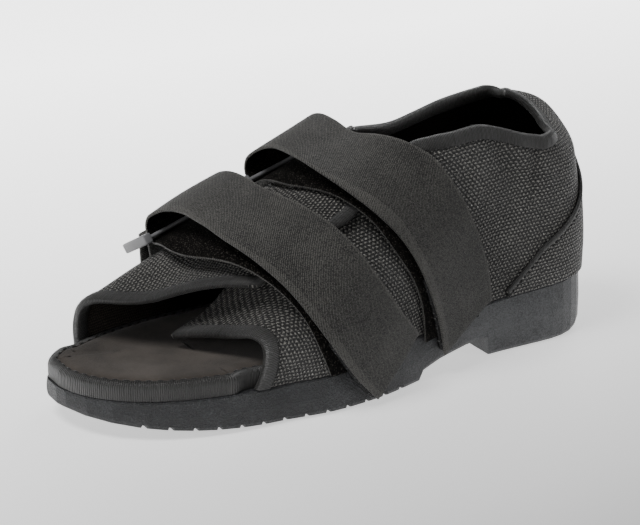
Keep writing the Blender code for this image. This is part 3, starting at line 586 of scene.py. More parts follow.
def tab_grid(ring, spacing, columns):
    """Points across a ring's tab, from the right side's seam round the lower rod and back."""
    _, far, direction = ring_frame(ring)
    share = far[0] / LENGTH + 0.5
    rows = []
    for part, layers in TAB_RUN:
        at = (share, part, layer_lift(0.0, layers))
        rows.append((*wrap(*at)[0], *surface_across(*at, direction)))
    rise = far - np.array(rows[-1][:3])
    rise = rise - direction * float(rise @ direction)
    rise /= np.linalg.norm(rise)
    outward = np.cross(rise, direction)
    outward = outward if outward[1] < 0.0 else -outward
    bend = 0.5 * (RING_ROD + STRAP) + GAP
    for angle in np.linspace(0.0, math.pi, 7):
        spot = far + bend * (rise * math.sin(angle) + outward * math.cos(angle))
        rows.append((*spot, *direction))
    rows.append((*(far - bend * outward - TAB_RETURN * rise), *direction))
    steps = np.linspace(0.0, len(rows) - 1.0, 12 * len(rows))
    travelled = measure(np.array([read_rows(rows, step)[:3] for step in steps]))
    stations = np.linspace(0.0, travelled[-1], int(round(travelled[-1] / spacing)) + 1)
    grid = []
    for place in stations:
        row = np.array(read_rows(rows, np.interp(place, travelled, steps)))
        parts = np.linspace(-0.5, 0.5, columns)
        grid.append([row[:3] + part * TAB_WIDTH * row[3:] for part in parts])
    return np.array(grid)


def sole_shift():
    """Move from the last's own place to the frame's, read from the sole."""
    low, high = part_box("outsole")
    shares = np.linspace(0.45, 0.80, 141)
    left = max(half_width(1, s) for s in shares)
    right = max(half_width(-1, s) for s in shares)
    return np.array([0.5 * (low.x + high.x), 0.5 * (low.y + high.y) - 0.5 * (left - right), 0.0])


SHIFT = sole_shift()


# Materials

class Finish:
    """A material's node tree, with short ways to add nodes to it."""

    def __init__(self, name, colour, roughness, sheen=0.0, coat=0.0, specular=0.2):
        self.material = bpy.data.materials.new(name)
        self.material.use_nodes = True
        self.tree = self.material.node_tree
        self.shader = self.tree.nodes["Principled BSDF"]
        self.shader.inputs["Base Color"].default_value = (*colour, 1.0)
        self.shader.inputs["Roughness"].default_value = roughness
        self.shader.inputs["Sheen Weight"].default_value = sheen
        self.shader.inputs["Sheen Roughness"].default_value = 0.5
        self.shader.inputs["Coat Weight"].default_value = coat
        self.shader.inputs["Specular IOR Level"].default_value = specular

    def node(self, kind, **inputs):
        made = self.tree.nodes.new(kind)
        for name, value in inputs.items():
            socket = made.inputs[name.replace("_", " ")]
            if isinstance(value, bpy.types.NodeSocket):
                self.tree.links.new(value, socket)
            else:
                socket.default_value = value
        return made

    def math(self, operation, a, b=0.0):
        made = self.tree.nodes.new("ShaderNodeMath")
        made.operation = operation
        for socket, value in zip(made.inputs, (a, b)):
            if isinstance(value, bpy.types.NodeSocket):
                self.tree.links.new(value, socket)
            else:
                socket.default_value = value
        return made.outputs[0]

    def coordinates(self, output):
        return self.tree.nodes.new("ShaderNodeTexCoord").outputs[output]

    def scaled(self, vector, scale, turn=0.0):
        made = self.tree.nodes.new("ShaderNodeMapping")
        self.tree.links.new(vector, made.inputs["Vector"])
        made.inputs["Scale"].default_value = scale
        made.inputs["Rotation"].default_value = (0.0, 0.0, turn)
        return made.outputs[0]

    def noise(self, vector, scale, detail=3.0, roughness=0.6):
        made = self.node("ShaderNodeTexNoise", Vector=vector, Scale=scale, Detail=detail, Roughness=roughness)
        return made.outputs["Fac"]

    def ramp(self, value, stops):
        made = self.tree.nodes.new("ShaderNodeValToRGB")
        self.tree.links.new(value, made.inputs["Fac"])
        elements = made.color_ramp.elements
        while len(elements) < len(stops):
            elements.new(0.5)
        for element, (place, colour) in zip(elements, stops):
            element.position = place
            element.color = (*colour, 1.0)
        return made.outputs["Color"]

    def bump(self, height, distance, strength=1.0, under=None):
        made = self.node("ShaderNodeBump", Height=height, Distance=distance, Strength=strength)
        if under is not None:
            self.tree.links.new(under, made.inputs["Normal"])
        return made.outputs["Normal"]

    def plug(self, name, value):
        self.tree.links.new(value, self.shader.inputs[name])


def new_group(name, inputs, outputs):
    """Shader group with named sockets: its tree, its input node and its output node."""
    tree = bpy.data.node_groups.new(name, "ShaderNodeTree")
    for label, kind, value in inputs:
        socket = tree.interface.new_socket(name=label, in_out="INPUT", socket_type=kind)
        if value is not None:
            socket.default_value = value
    for label, kind in outputs:
        tree.interface.new_socket(name=label, in_out="OUTPUT", socket_type=kind)
    return tree, tree.nodes.new("NodeGroupInput"), tree.nodes.new("NodeGroupOutput")


def group_math(tree, operation, a, b=0.0, c=0.0):
    made = tree.nodes.new("ShaderNodeMath")
    made.operation = operation
    for socket, value in zip(made.inputs, (a, b, c)):
        if isinstance(value, bpy.types.NodeSocket):
            tree.links.new(value, socket)
        else:
            socket.default_value = value
    return made.outputs[0]


def fibre_group():
    """Fine fibre relief and its shade, for every cloth of the shoe."""
    tree, start, end = new_group(
        "fibre",
        (("Vector", "NodeSocketVector", None), ("Scale", "NodeSocketFloat", 2500.0)),
        (("Height", "NodeSocketFloat"), ("Patches", "NodeSocketFloat")))
    fine = tree.nodes.new("ShaderNodeTexNoise")
    tree.links.new(start.outputs["Vector"], fine.inputs["Vector"])
    tree.links.new(start.outputs["Scale"], fine.inputs["Scale"])
    fine.inputs["Detail"].default_value = 2.0
    patches = tree.nodes.new("ShaderNodeTexNoise")
    tree.links.new(start.outputs["Vector"], patches.inputs["Vector"])
    patches.inputs["Scale"].default_value = 60.0
    patches.inputs["Detail"].default_value = 3.0
    tree.links.new(fine.outputs["Fac"], end.inputs["Height"])
    tree.links.new(patches.outputs["Fac"], end.inputs["Patches"])
    return tree


def knit_group():
    """Loops of a coarse knit on the cloth's own map: height and holes."""
    tree, start, end = new_group(
        "knit_loops",
        (("Vector", "NodeSocketVector", None), ("Course", "NodeSocketFloat", 0.0018),
         ("Wale", "NodeSocketFloat", 0.0023)),
        (("Height", "NodeSocketFloat"), ("Loop", "NodeSocketFloat"), ("Glint", "NodeSocketFloat")))
    wobble = tree.nodes.new("ShaderNodeTexNoise")
    tree.links.new(start.outputs["Vector"], wobble.inputs["Vector"])
    wobble.inputs["Scale"].default_value = 330.0
    wobble.inputs["Detail"].default_value = 2.0
    split = tree.nodes.new("ShaderNodeSeparateXYZ")
    tree.links.new(start.outputs["Vector"], split.inputs[0])
    push = group_math(tree, "MULTIPLY", group_math(tree, "SUBTRACT", wobble.outputs["Fac"], 0.5), 0.0016)
    u = group_math(tree, "ADD", split.outputs["X"], push)
    v = group_math(tree, "SUBTRACT", split.outputs["Y"], push)
    row = group_math(tree, "DIVIDE", v, start.outputs["Course"])
    half = group_math(tree, "MULTIPLY", group_math(tree, "FLOOR", row), 0.5)
    column = group_math(tree, "ADD", group_math(tree, "DIVIDE", u, start.outputs["Wale"]), half)
    across = group_math(tree, "SUBTRACT", group_math(tree, "FRACT", column), 0.5)
    up = group_math(tree, "SUBTRACT", group_math(tree, "FRACT", row), 0.5)
    bent = group_math(tree, "ADD", up, group_math(tree, "MULTIPLY", group_math(tree, "ABSOLUTE", across), 0.55))
    spread = group_math(tree, "MULTIPLY", across, across)
    rise = group_math(tree, "MULTIPLY", bent, bent)
    total = group_math(tree, "ADD", group_math(tree, "MULTIPLY", spread, 2.6), group_math(tree, "MULTIPLY", rise, 3.4))
    loop = group_math(tree, "SUBTRACT", 1.0, group_math(tree, "SQRT", total))
    loop = group_math(tree, "MAXIMUM", loop, 0.0)
    strands = tree.nodes.new("ShaderNodeTexNoise")
    tree.links.new(start.outputs["Vector"], strands.inputs["Vector"])
    strands.inputs["Scale"].default_value = 1900.0
    strands.inputs["Detail"].default_value = 1.5
    height = group_math(tree, "ADD", loop, group_math(tree, "MULTIPLY", strands.outputs["Fac"], 0.35))
    # Glint: spots on the loops that the knitted mesh paints bright in its colour as highlights
    glint = group_math(tree, "MULTIPLY", group_math(tree, "GREATER_THAN", strands.outputs["Fac"], 0.60), loop)
    tree.links.new(height, end.inputs["Height"])
    tree.links.new(loop, end.inputs["Loop"])
    tree.links.new(glint, end.inputs["Glint"])
    return tree


def use_group(finish, tree, **inputs):
    made = finish.tree.nodes.new("ShaderNodeGroup")
    made.node_tree = tree
    for name, value in inputs.items():
        socket = made.inputs[name]
        if isinstance(value, bpy.types.NodeSocket):
            finish.tree.links.new(value, socket)
        else:
            socket.default_value = value
    return made.outputs


FIBRE = fibre_group()
KNIT = knit_group()


def knit_finish():
    """Coarse knitted mesh: dark ground and raised loops, with painted glints: small bright spots on the loops painted
    into the colour as highlights.
    """
    made = Finish("knitted_mesh", (0.02, 0.02, 0.02), 0.5, sheen=0.05, specular=0.5)
    uv = made.coordinates("UV")
    loops = use_group(made, KNIT, Vector=uv)
    fibre = use_group(made, FIBRE, Vector=made.coordinates("Object"), Scale=1600.0)
    shade = made.math("ADD", loops["Height"], made.math("MULTIPLY", fibre["Patches"], 0.25))
    # Painted glints: the glint spots are added to the colour as painted highlights
    shade = made.math("ADD", shade, made.math("MULTIPLY", loops["Glint"], 1.2))
    made.plug("Base Color", made.ramp(shade, (
        (0.26, (0.0005, 0.0005, 0.0004)),
        (0.58, (0.0040, 0.0037, 0.0032)),
        (0.86, (0.026, 0.0245, 0.0215)),
        (1.00, (0.26, 0.25, 0.23)))))
    made.plug("Roughness", made.math("SUBTRACT", 0.62, made.math("MULTIPLY", loops["Glint"], 0.5)))
    made.plug("Normal", made.bump(loops["Height"], 0.0018))
    return made.material


def lining_finish():
    """Dark brushed lining."""
    made = Finish("brushed_lining", (0.002, 0.002, 0.002), 0.95, specular=0.05)
    uv = made.coordinates("UV")
    loops = use_group(made, KNIT, Vector=uv, Course=0.0015, Wale=0.0011)
    split = made.node("ShaderNodeSeparateXYZ", Vector=made.coordinates("Object"))
    toe = made.node("ShaderNodeMapRange", Value=split.outputs["X"])
    toe.inputs["From Min"].default_value = 0.060
    toe.inputs["From Max"].default_value = 0.105
    toe.inputs["To Min"].default_value = 0.10
    toe.inputs["To Max"].default_value = 1.0
    shade = made.math("MULTIPLY", loops["Height"], toe.outputs[0])
    made.plug("Base Color", made.ramp(shade, ((0.02, (0.0012, 0.0009, 0.0007)), (1.0, (0.12, 0.105, 0.090)))))
    made.plug("Normal", made.bump(loops["Height"], 0.0005))
    return made.material


def tape_finish():
    """Ribbed binding tape, with its ribs across its length."""
    made = Finish("ribbed_tape", (0.02, 0.02, 0.02), 0.42, sheen=0.08, specular=0.55)
    uv = made.coordinates("UV")
    fibre = use_group(made, FIBRE, Vector=made.coordinates("Object"), Scale=1800.0)
    ribs = made.node("ShaderNodeTexWave", Vector=uv, Scale=400.0, Distortion=0.8, Detail=1.0)
    ribs.inputs["Detail Scale"].default_value = 2.0
    height = made.math("ADD", ribs.outputs["Fac"], made.math("MULTIPLY", fibre["Height"], 0.5))
    shade = made.math("ADD", made.math("MULTIPLY", height, 0.5), made.math("MULTIPLY", fibre["Patches"], 0.5))
    made.plug("Base Color", made.ramp(shade, ((0.30, (0.0022, 0.0021, 0.0020)), (0.85, (0.032, 0.031, 0.029)))))
    wrinkles = made.noise(made.scaled(uv, (420.0, 90.0, 1.0)), 1.0, 2.0)
    first = made.bump(wrinkles, 0.0014, 0.7)
    made.plug("Normal", made.bump(height, 0.00040, 1.0, first))
    return made.material


def webbing_finish():
    """Strap webbing: speckled nap, fine weave and a pale selvedge along both edges."""
    made = Finish("woven_webbing", (0.02, 0.02, 0.02), 0.7, sheen=0.10, specular=0.3)
    uv = made.coordinates("UV")
    fibre = use_group(made, FIBRE, Vector=made.coordinates("Object"), Scale=1900.0)
    twill = made.node("ShaderNodeTexWave", Vector=made.scaled(uv, (1.0, 1.0, 1.0), 0.72), Scale=360.0, Distortion=1.4)
    twill.inputs["Detail"].default_value = 1.0
    split = made.node("ShaderNodeSeparateXYZ", Vector=uv)
    weave = made.math("MULTIPLY", made.math("SUBTRACT", twill.outputs["Fac"], 0.5), 0.30)
    shade = made.math("ADD", fibre["Height"], weave)
    shade = made.math("ADD", shade, made.math("MULTIPLY", made.math("SUBTRACT", fibre["Patches"], 0.5), 0.22))
    edge = made.math("ABSOLUTE", made.math("SUBTRACT", split.outputs["Y"], 0.5 * STRAP_WIDTH))
    edge = made.math("GREATER_THAN", edge, 0.5 * STRAP_WIDTH - 0.0012)
    shade = made.math("ADD", shade, made.math("MULTIPLY", edge, 0.10))
    made.plug("Base Color", made.ramp(shade, (
        (0.36, (0.0030, 0.0029, 0.0026)),
        (0.50, (0.0145, 0.0138, 0.0125)),
        (0.68, (0.080, 0.077, 0.070)))))
    made.plug("Normal", made.bump(made.math("ADD", fibre["Height"], weave), 0.00045))
    return made.material


def pile_and_painted_shade_finish():
    """Near-black loop pile of the straps' inner face, with small bright loops; the near-black is partly the pile's own
    colour and partly painted shade for the shadow of each strap's lifted over-run.
    """
    made = Finish("loop_pile_and_painted_shade", (0.002, 0.002, 0.002), 0.9, specular=0.08)
    fibre = use_group(made, FIBRE, Vector=made.coordinates("Object"), Scale=1500.0)
    # Painted shade: the pile is kept near-black partly to stand for the shadow under each strap's lifted over-run
    made.plug("Base Color", made.ramp(fibre["Height"], (
        (0.45, (0.0006, 0.0005, 0.0004)),
        (0.60, (0.0040, 0.0034, 0.0028)),
        (0.70, (0.060, 0.055, 0.048)))))
    made.plug("Normal", made.bump(fibre["Height"], 0.0006))
    return made.material


def hook_finish():
    """Hook tape: dark, with the bright points of its hooks."""
    made = Finish("hook_tape", (0.008, 0.008, 0.008), 0.45)
    hooks = made.node("ShaderNodeTexVoronoi", Vector=made.coordinates("UV"), Scale=900.0)
    shade = made.math("SUBTRACT", 0.9, hooks.outputs["Distance"])
    made.plug("Base Color", made.ramp(shade, ((0.55, (0.004, 0.004, 0.004)), (0.92, (0.16, 0.16, 0.16)))))
    made.plug("Normal", made.bump(shade, 0.0006))
    return made.material


def rubber_finish():
    """Moulded rubber: pebbled round the forefoot and smoother at the heel."""
    made = Finish("moulded_rubber", (0.03, 0.031, 0.034), 0.4, specular=0.45)
    place = made.coordinates("Object")
    split = made.node("ShaderNodeSeparateXYZ", Vector=place)
    pebbles = made.noise(place, 1100.0, 3.0, 0.65)
    grain = made.noise(place, 3200.0, 1.0)
    forefoot = made.node("ShaderNodeMapRange", Value=split.outputs["X"])
    forefoot.inputs["From Min"].default_value = -0.06
    forefoot.inputs["From Max"].default_value = 0.02
    forefoot.inputs["To Min"].default_value = 0.35
    forefoot.inputs["To Max"].default_value = 1.0
    height = made.math("ADD", made.math("MULTIPLY", pebbles, forefoot.outputs[0]), made.math("MULTIPLY", grain, 0.25))
    cloud = made.noise(place, 45.0, 4.0)
    paler = made.math("MULTIPLY", made.math("SUBTRACT", 1.0, forefoot.outputs[0]), 0.30)
    shade = made.math("ADD", made.math("MULTIPLY", made.math("SUBTRACT", pebbles, 0.5), 1.1), paler)
    shade = made.math("ADD", shade, made.math("MULTIPLY", cloud, 0.8))
    made.plug("Base Color", made.ramp(shade, (
        (0.14, (0.004, 0.0042, 0.0046)),
        (0.44, (0.016, 0.0167, 0.0185)),
        (0.76, (0.066, 0.068, 0.071)))))
    made.plug("Roughness", made.math("ADD", 0.26, made.math("MULTIPLY", cloud, 0.25)))
    made.plug("Normal", made.bump(height, 0.0014))
    return made.material


def suede_finish():
    """Brushed footbed cloth, worn a little lighter in places."""
    made = Finish("brushed_footbed", (0.03, 0.027, 0.025), 0.9, sheen=0.15, specular=0.1)
    place = made.coordinates("Object")
    fibre = use_group(made, FIBRE, Vector=place, Scale=2600.0)
    cloud = made.noise(place, 30.0, 7.0, 0.68)
    shade = made.math("ADD", made.math("MULTIPLY", cloud, 0.75), made.math("MULTIPLY", fibre["Height"], 0.25))
    made.plug("Base Color", made.ramp(shade, ((0.30, (0.011, 0.0092, 0.0078)), (0.64, (0.066, 0.056, 0.048)))))
    made.plug("Normal", made.bump(fibre["Height"], 0.00018))
    return made.material


def plastic_finish():
    """Light grey moulded plastic of the rings."""
    made = Finish("ring_plastic", (0.15, 0.15, 0.153), 0.30, coat=0.1, specular=0.5)
    place = made.coordinates("Object")
    made.plug("Roughness", made.math("ADD", 0.25, made.math("MULTIPLY", made.noise(place, 300.0), 0.2)))
    made.plug("Normal", made.bump(made.noise(place, 900.0), 0.00005))
    return made.material


def thread_finish():
    made = Finish("sewing_thread", (0.012, 0.012, 0.012), 0.6, sheen=0.3)
    twist = made.noise(made.coordinates("Object"), 4000.0, 1.0)
    made.plug("Base Color", made.ramp(twist, ((0.3, (0.002, 0.002, 0.002)), (0.8, (0.010, 0.0098, 0.0095)))))
    made.plug("Normal", made.bump(twist, 0.0001))
    return made.material


KNIT_MESH = knit_finish()
LINING = lining_finish()
TAPE = tape_finish()
WEBBING = webbing_finish()
PILE_AND_PAINTED_SHADE = pile_and_painted_shade_finish()
HOOKS = hook_finish()
RUBBER = rubber_finish()
SUEDE = suede_finish()
PLASTIC = plastic_finish()
THREAD = thread_finish()


# Pieces

def active_grid(name, rows, columns):
    """Flat grid primitive of the size of a table of points, rows by columns."""
    bpy.ops.mesh.primitive_grid_add(x_subdivisions=columns - 1, y_subdivisions=rows - 1, size=0.1)
    piece = bpy.context.object
    piece.name = name
    piece.data.name = name
    assert len(piece.data.vertices) == rows * columns
    return piece


def lay_cloth(name, points, materials, outward_at=None, close=False):
    """Cloth surface through a table of points, with its own map in metres."""
    points = np.array(points) + SHIFT
    rows, columns = points.shape[:2]
    piece = active_grid(name, rows, columns)
    mesh = piece.data
    mesh.vertices.foreach_set("co", points.reshape(-1))
    lengthways = np.cumsum(np.concatenate([np.zeros((1, columns)), np.linalg.norm(np.diff(points, axis=0), axis=2)]), axis=0)
    crossways = np.cumsum(np.concatenate([np.zeros((rows, 1)), np.linalg.norm(np.diff(points, axis=1), axis=2)], axis=1), axis=1)
    flat = np.stack([lengthways.mean(axis=1)[:, None] + 0.0 * lengthways, crossways], axis=2).reshape(-1, 2)
    corner = np.empty(len(mesh.loops), dtype=np.int32)
    mesh.loops.foreach_get("vertex_index", corner)
    mesh.uv_layers[0].data.foreach_set("uv", flat[corner].reshape(-1))
    for material in materials:
        mesh.materials.append(material)
    mesh.update()
    if outward_at is not None:
        row, column, direction = outward_at
        face = mesh.polygons[row * (columns - 1) + column]
        if face.normal.dot(Vector(direction)) < 0.0:
            mesh.flip_normals()
    if close:
        bpy.ops.object.mode_set(mode="EDIT")
        bpy.ops.mesh.select_all(action="SELECT")
        bpy.ops.mesh.remove_doubles(threshold=0.00001)
        bpy.ops.mesh.select_all(action="DESELECT")
        bpy.ops.object.mode_set(mode="OBJECT")
    mesh.shade_smooth()
    return piece


def apply_modifier(piece, kind, **settings):
    modifier = piece.modifiers.new(kind.title(), kind)
    for name, value in settings.items():
        setattr(modifier, name, value)
    bpy.context.view_layer.objects.active = piece
    bpy.ops.object.modifier_apply(modifier=modifier.name)


def finish_piece(piece, slot, *replaced):
    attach(piece, "root")
    if replaced:
        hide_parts(*replaced)
    piece.select_set(False)
    return piece


def crease_lift(point):
    """Push of the creases on a point of the upper's left side, in metres outwards."""
    lift = 0.0
    if point[1] < 0.0:
        return lift
    spot = np.array([point[0], point[2]])
    for share_a, high_a, share_b, high_b, depth, width in CREASES:
        a = np.array([lengthwise(share_a), high_a * HEEL_TAB_HEIGHT])
        b = np.array([lengthwise(share_b), high_b * HEEL_TAB_HEIGHT])
        t = float(np.clip((spot - a) @ (b - a) / ((b - a) @ (b - a)), 0.0, 1.0))
        far = np.linalg.norm(spot - a - t * (b - a)) / width
        lift -= depth * WALL * math.exp(-far * far) * math.sin(math.pi * (0.15 + 0.7 * t))
    return lift


UPPER_ROWS = 56


def upper_grid():
    """Columns of the whole upper's outer face from the left flap's front to the right flap's."""
    left = flap_columns(1, 76, UPPER_ROWS)
    heel = heel_columns(44, UPPER_ROWS)
    right = flap_columns(-1, 92, UPPER_ROWS)
    grid = np.array(left[::-1] + heel[1:-1] + right)
    normal = -grid_normals(grid)
    if normal[20, 5, 1] < 0.0:
        normal = -normal
    push = np.array([[crease_lift(point) for point in column] for column in grid])
    return grid + normal * push[:, :, None], normal


def build_upper():
    """Knitted upper with its lining inside."""
    grid, normal = upper_grid()
    piece = lay_cloth("knitted_upper", grid, (KNIT_MESH, LINING), (20, 5, (0.0, 1.0, 0.0)))
    apply_modifier(piece, "SOLIDIFY", thickness=WALL, offset=-1.0, material_offset=1)
    finish_piece(piece, "mesh_cloth", "upper")
    return grid, normal


# Section of the binding: place from the edge in BINDING_WIDTH, height above the outer face in
# BINDING_RAISE, and share of the wall's depth
BINDING_SECTION = (
    (1.00, -0.3, 0.0),
    (0.97, 0.6, 0.0),
    (0.85, 0.95, 0.0),
    (0.55, 1.2, 0.0),
    (0.25, 1.15, 0.0),
    (0.05, 0.75, 0.0),
    (-0.08, 0.0, 0.0),
    (-0.12, 0.0, 0.5),
    (-0.08, 0.0, 1.0),
    (0.05, -0.75, 1.0),
    (0.30, -1.1, 1.0),
    (0.70, -1.0, 1.0),
    (0.97, -0.6, 1.0),
    (1.00, 0.2, 1.0),
    (1.00, -0.3, 0.0),
)


def build_binding(name, edge, inward, normal, width=BINDING_WIDTH, wrinkle=0.0):
    """Ribbed tape folded over an edge of the upper, and the stitches along it."""
    travelled = measure(edge)
    count = int(travelled[-1] / 0.0011)
    places = np.linspace(0.0, travelled[-1], count)

    def read(values):
        return np.stack([np.interp(places, travelled, values[:, k]) for k in range(3)], axis=1)

    edge, inward, normal = read(edge), read(inward), read(normal)
    inward /= np.linalg.norm(inward, axis=1, keepdims=True)
    normal /= np.linalg.norm(normal, axis=1, keepdims=True)
    rings = []
    for i, place in enumerate(places):
        puff = 1.0 + wrinkle * math.sin(place * 2100.0) * math.sin(place * 330.0 + 1.0)
        ring = []
        for part, raised, deep in BINDING_SECTION:
            lift = raised * BINDING_RAISE * puff - deep * WALL
            ring.append(edge[i] + inward[i] * part * width + normal[i] * lift)
        rings.append(ring)
    piece = lay_cloth(name, rings, (TAPE,), (count // 2, 3, normal[count // 2]), close=True)
    finish_piece(piece, "mesh_cloth")
    line = edge + inward * width * 1.02 + normal * 0.0004
    build_stitches(name + "_stitches", line, normal)


def build_stitches(name, line, normal, spacing=0.0031, length=0.0021, thickness=0.00042):
    """Row of stitches along a line, each a small stretched bead, joined into one piece."""
    travelled = measure(line)
    places = np.arange(0.5 * spacing, travelled[-1], spacing)
    bpy.ops.mesh.primitive_ico_sphere_add(subdivisions=1, radius=1.0)
    piece = bpy.context.object
    piece.name = name
    bead = np.array([v.co[:] for v in piece.data.vertices])
    faces = [tuple(p.vertices) for p in piece.data.polygons]
    vertices, sides = [], []
    for place in places:
        spot = np.array([np.interp(place, travelled, line[:, k]) for k in range(3)])
        ahead = np.array([np.interp(place + 0.0004, travelled, line[:, k]) for k in range(3)])
        behind = np.array([np.interp(place - 0.0004, travelled, line[:, k]) for k in range(3)])
        run = ahead - behind
        run /= np.linalg.norm(run)
        up = np.array([np.interp(place, travelled, normal[:, k]) for k in range(3)])
        across = np.cross(run, up)
        across /= np.linalg.norm(across)
        start = len(vertices)
        for x, y, z in bead:
            vertices.append(spot + SHIFT + run * x * 0.5 * length + across * y * thickness + up * z * 0.7 * thickness)
        sides += [tuple(k + start for k in face) for face in faces]
    mesh = bpy.data.meshes.new(name)
    mesh.from_pydata([tuple(map(float, v)) for v in vertices], [], sides)
    mesh.materials.append(THREAD)
    mesh.shade_smooth()
    old = piece.data
    piece.data = mesh
    bpy.data.meshes.remove(old)
    finish_piece(piece, "mesh_cloth")


def edge_of(grid, normal, columns=None, row=-1, step=1):
    """Edge line of the upper's grid with the way into the cloth and its outward direction."""
    edge = grid[columns, row]
    inward = grid[columns, row - 6 * step] - edge
    return edge, inward, normal[columns, row]


def build_bindings(grid, normal):
    """Bound edges: the collar on to the lap, and the front of each flap."""
    collar_start = 76 - int(76 * 0.47)
    columns = np.arange(collar_start, len(grid))
    edge, inward, out = edge_of(grid, normal, columns)
    build_binding("collar_binding", edge, inward, out, wrinkle=0.10)
    for name, column, step in (("near_front_binding", 0, 1), ("far_front_binding", len(grid) - 1, -1)):
        edge = grid[column, :-1]
        inward = grid[column + 4 * step, :-1] - edge
        build_binding(name, edge, inward, normal[column, :-1], wrinkle=0.05)


def counter_edge(turn):
    return read_table(COUNTER_BACK, 1, 1.0 - abs(2.0 * turn - 1.0))


def build_counter():
    """Heel counter of the same mesh over the back, with a corded seam along its edge."""
    rows = 36
    lift = COUNTER + GAP
    grid = []
    for side in (1, -1):
        part = []
        for share in np.linspace(COUNTER_EDGE[-1][0], COUNTER_EDGE[0][0], 14):
            skin = section(side, share, -lift)
            top = distance_at_height(skin, read_table(COUNTER_EDGE, 1, share) * HEEL_TAB_HEIGHT)
            part.append([along(skin, top * k) for k in np.linspace(0.0, 1.0, rows)])
        grid.append(part)
    back = heel_columns(60, rows, counter_edge, lift)
    whole = np.array(grid[0] + back[1:-1] + grid[1][::-1])
    piece = lay_cloth("heel_counter_cloth", whole, (KNIT_MESH,), (30, 5, (-1.0, 0.0, 0.0)))
    apply_modifier(piece, "SOLIDIFY", thickness=COUNTER, offset=-1.0)
    finish_piece(piece, "mesh_cloth", "heel_counter")
    normal = -grid_normals(whole)
    if normal[len(whole) // 2, 5, 0] > 0.0:
        normal = -normal
    edge, inward, out = edge_of(whole, normal, np.arange(len(whole)))
    inward /= np.linalg.norm(inward, axis=1, keepdims=True)
    rings = []
    for i in range(len(edge)):
        ring = []
        for angle in np.linspace(0.0, 2.0 * math.pi, 13):
            round_in = 0.5 * COUNTER_RIB * math.cos(angle)
            round_up = 0.0011 * math.sin(angle)
            ring.append(edge[i] + inward[i] * (0.35 * COUNTER_RIB + round_in) + out[i] * (round_up - 0.0004))
        rings.append(ring)
    rib = lay_cloth("heel_counter_seam", rings, (TAPE,), (len(edge) // 2, 3, (-1.0, 0.0, 0.3)), close=True)
    finish_piece(rib, "mesh_cloth")
    build_stitches("heel_counter_stitches", edge + inward * COUNTER_RIB * 1.25 + out * 0.0002, out)


# Moulded ring: section of its two legs and thickness of the bars between them
RING_LEG_WIDTH = 0.0046
RING_LEG_HEIGHT = 0.0050
RING_LEG_OVERRUN = 0.0010
RING_BAR = 0.0021
RING_EDGE = 0.0008


def build_ring(name, ring):
    """Moulded ring of two flat-faced legs with a thin bar across each end."""
    near, far, direction = ring_frame(ring)
    deep = (far - near) / np.linalg.norm(far - near)
    up = np.cross(deep, direction)
    reach = 0.5 * STRAP_WIDTH + 0.0016
    turn = np.stack([direction, deep, up], axis=1)
    parts = []
    for side in (-1.0, 1.0):
        centre = 0.5 * (near + far) + direction * side * (reach + 0.5 * RING_LEG_WIDTH) + SHIFT
        bpy.ops.mesh.primitive_cube_add(size=1.0)
        leg = bpy.context.object
        length = np.linalg.norm(far - near) + 2.0 * RING_LEG_OVERRUN + RING_BAR
        size = np.array([RING_LEG_WIDTH, length, RING_LEG_HEIGHT])
        for vertex in leg.data.vertices:
            vertex.co = Vector(turn @ (np.array(vertex.co) * size) + centre)
        apply_modifier(leg, "BEVEL", width=RING_EDGE, segments=3)
        parts.append(leg)
    for end in (near, far):
        bpy.ops.mesh.primitive_cylinder_add(vertices=20, radius=0.5 * RING_BAR, depth=2.0 * reach + RING_LEG_WIDTH)
        bar = bpy.context.object
        lay = np.stack([deep, up, direction], axis=1)
        for vertex in bar.data.vertices:
            vertex.co = Vector(lay @ np.array(vertex.co) + end + SHIFT)
        parts.append(bar)
    bpy.ops.object.select_all(action="DESELECT")
    for part in parts:
        part.select_set(True)
    bpy.context.view_layer.objects.active = parts[0]
    bpy.ops.object.join()
    piece = bpy.context.object
    piece.name = name + "_moulding"
    piece.data.materials.append(PLASTIC)
    piece.data.shade_smooth()
    bpy.ops.object.shade_smooth_by_angle(angle=0.7)
    bpy.ops.object.mode_set(mode="EDIT")
    bpy.ops.mesh.select_all(action="SELECT")
    bpy.ops.mesh.normals_make_consistent(inside=False)
    bpy.ops.object.mode_set(mode="OBJECT")
    finish_piece(piece, "ring_plastic", name)


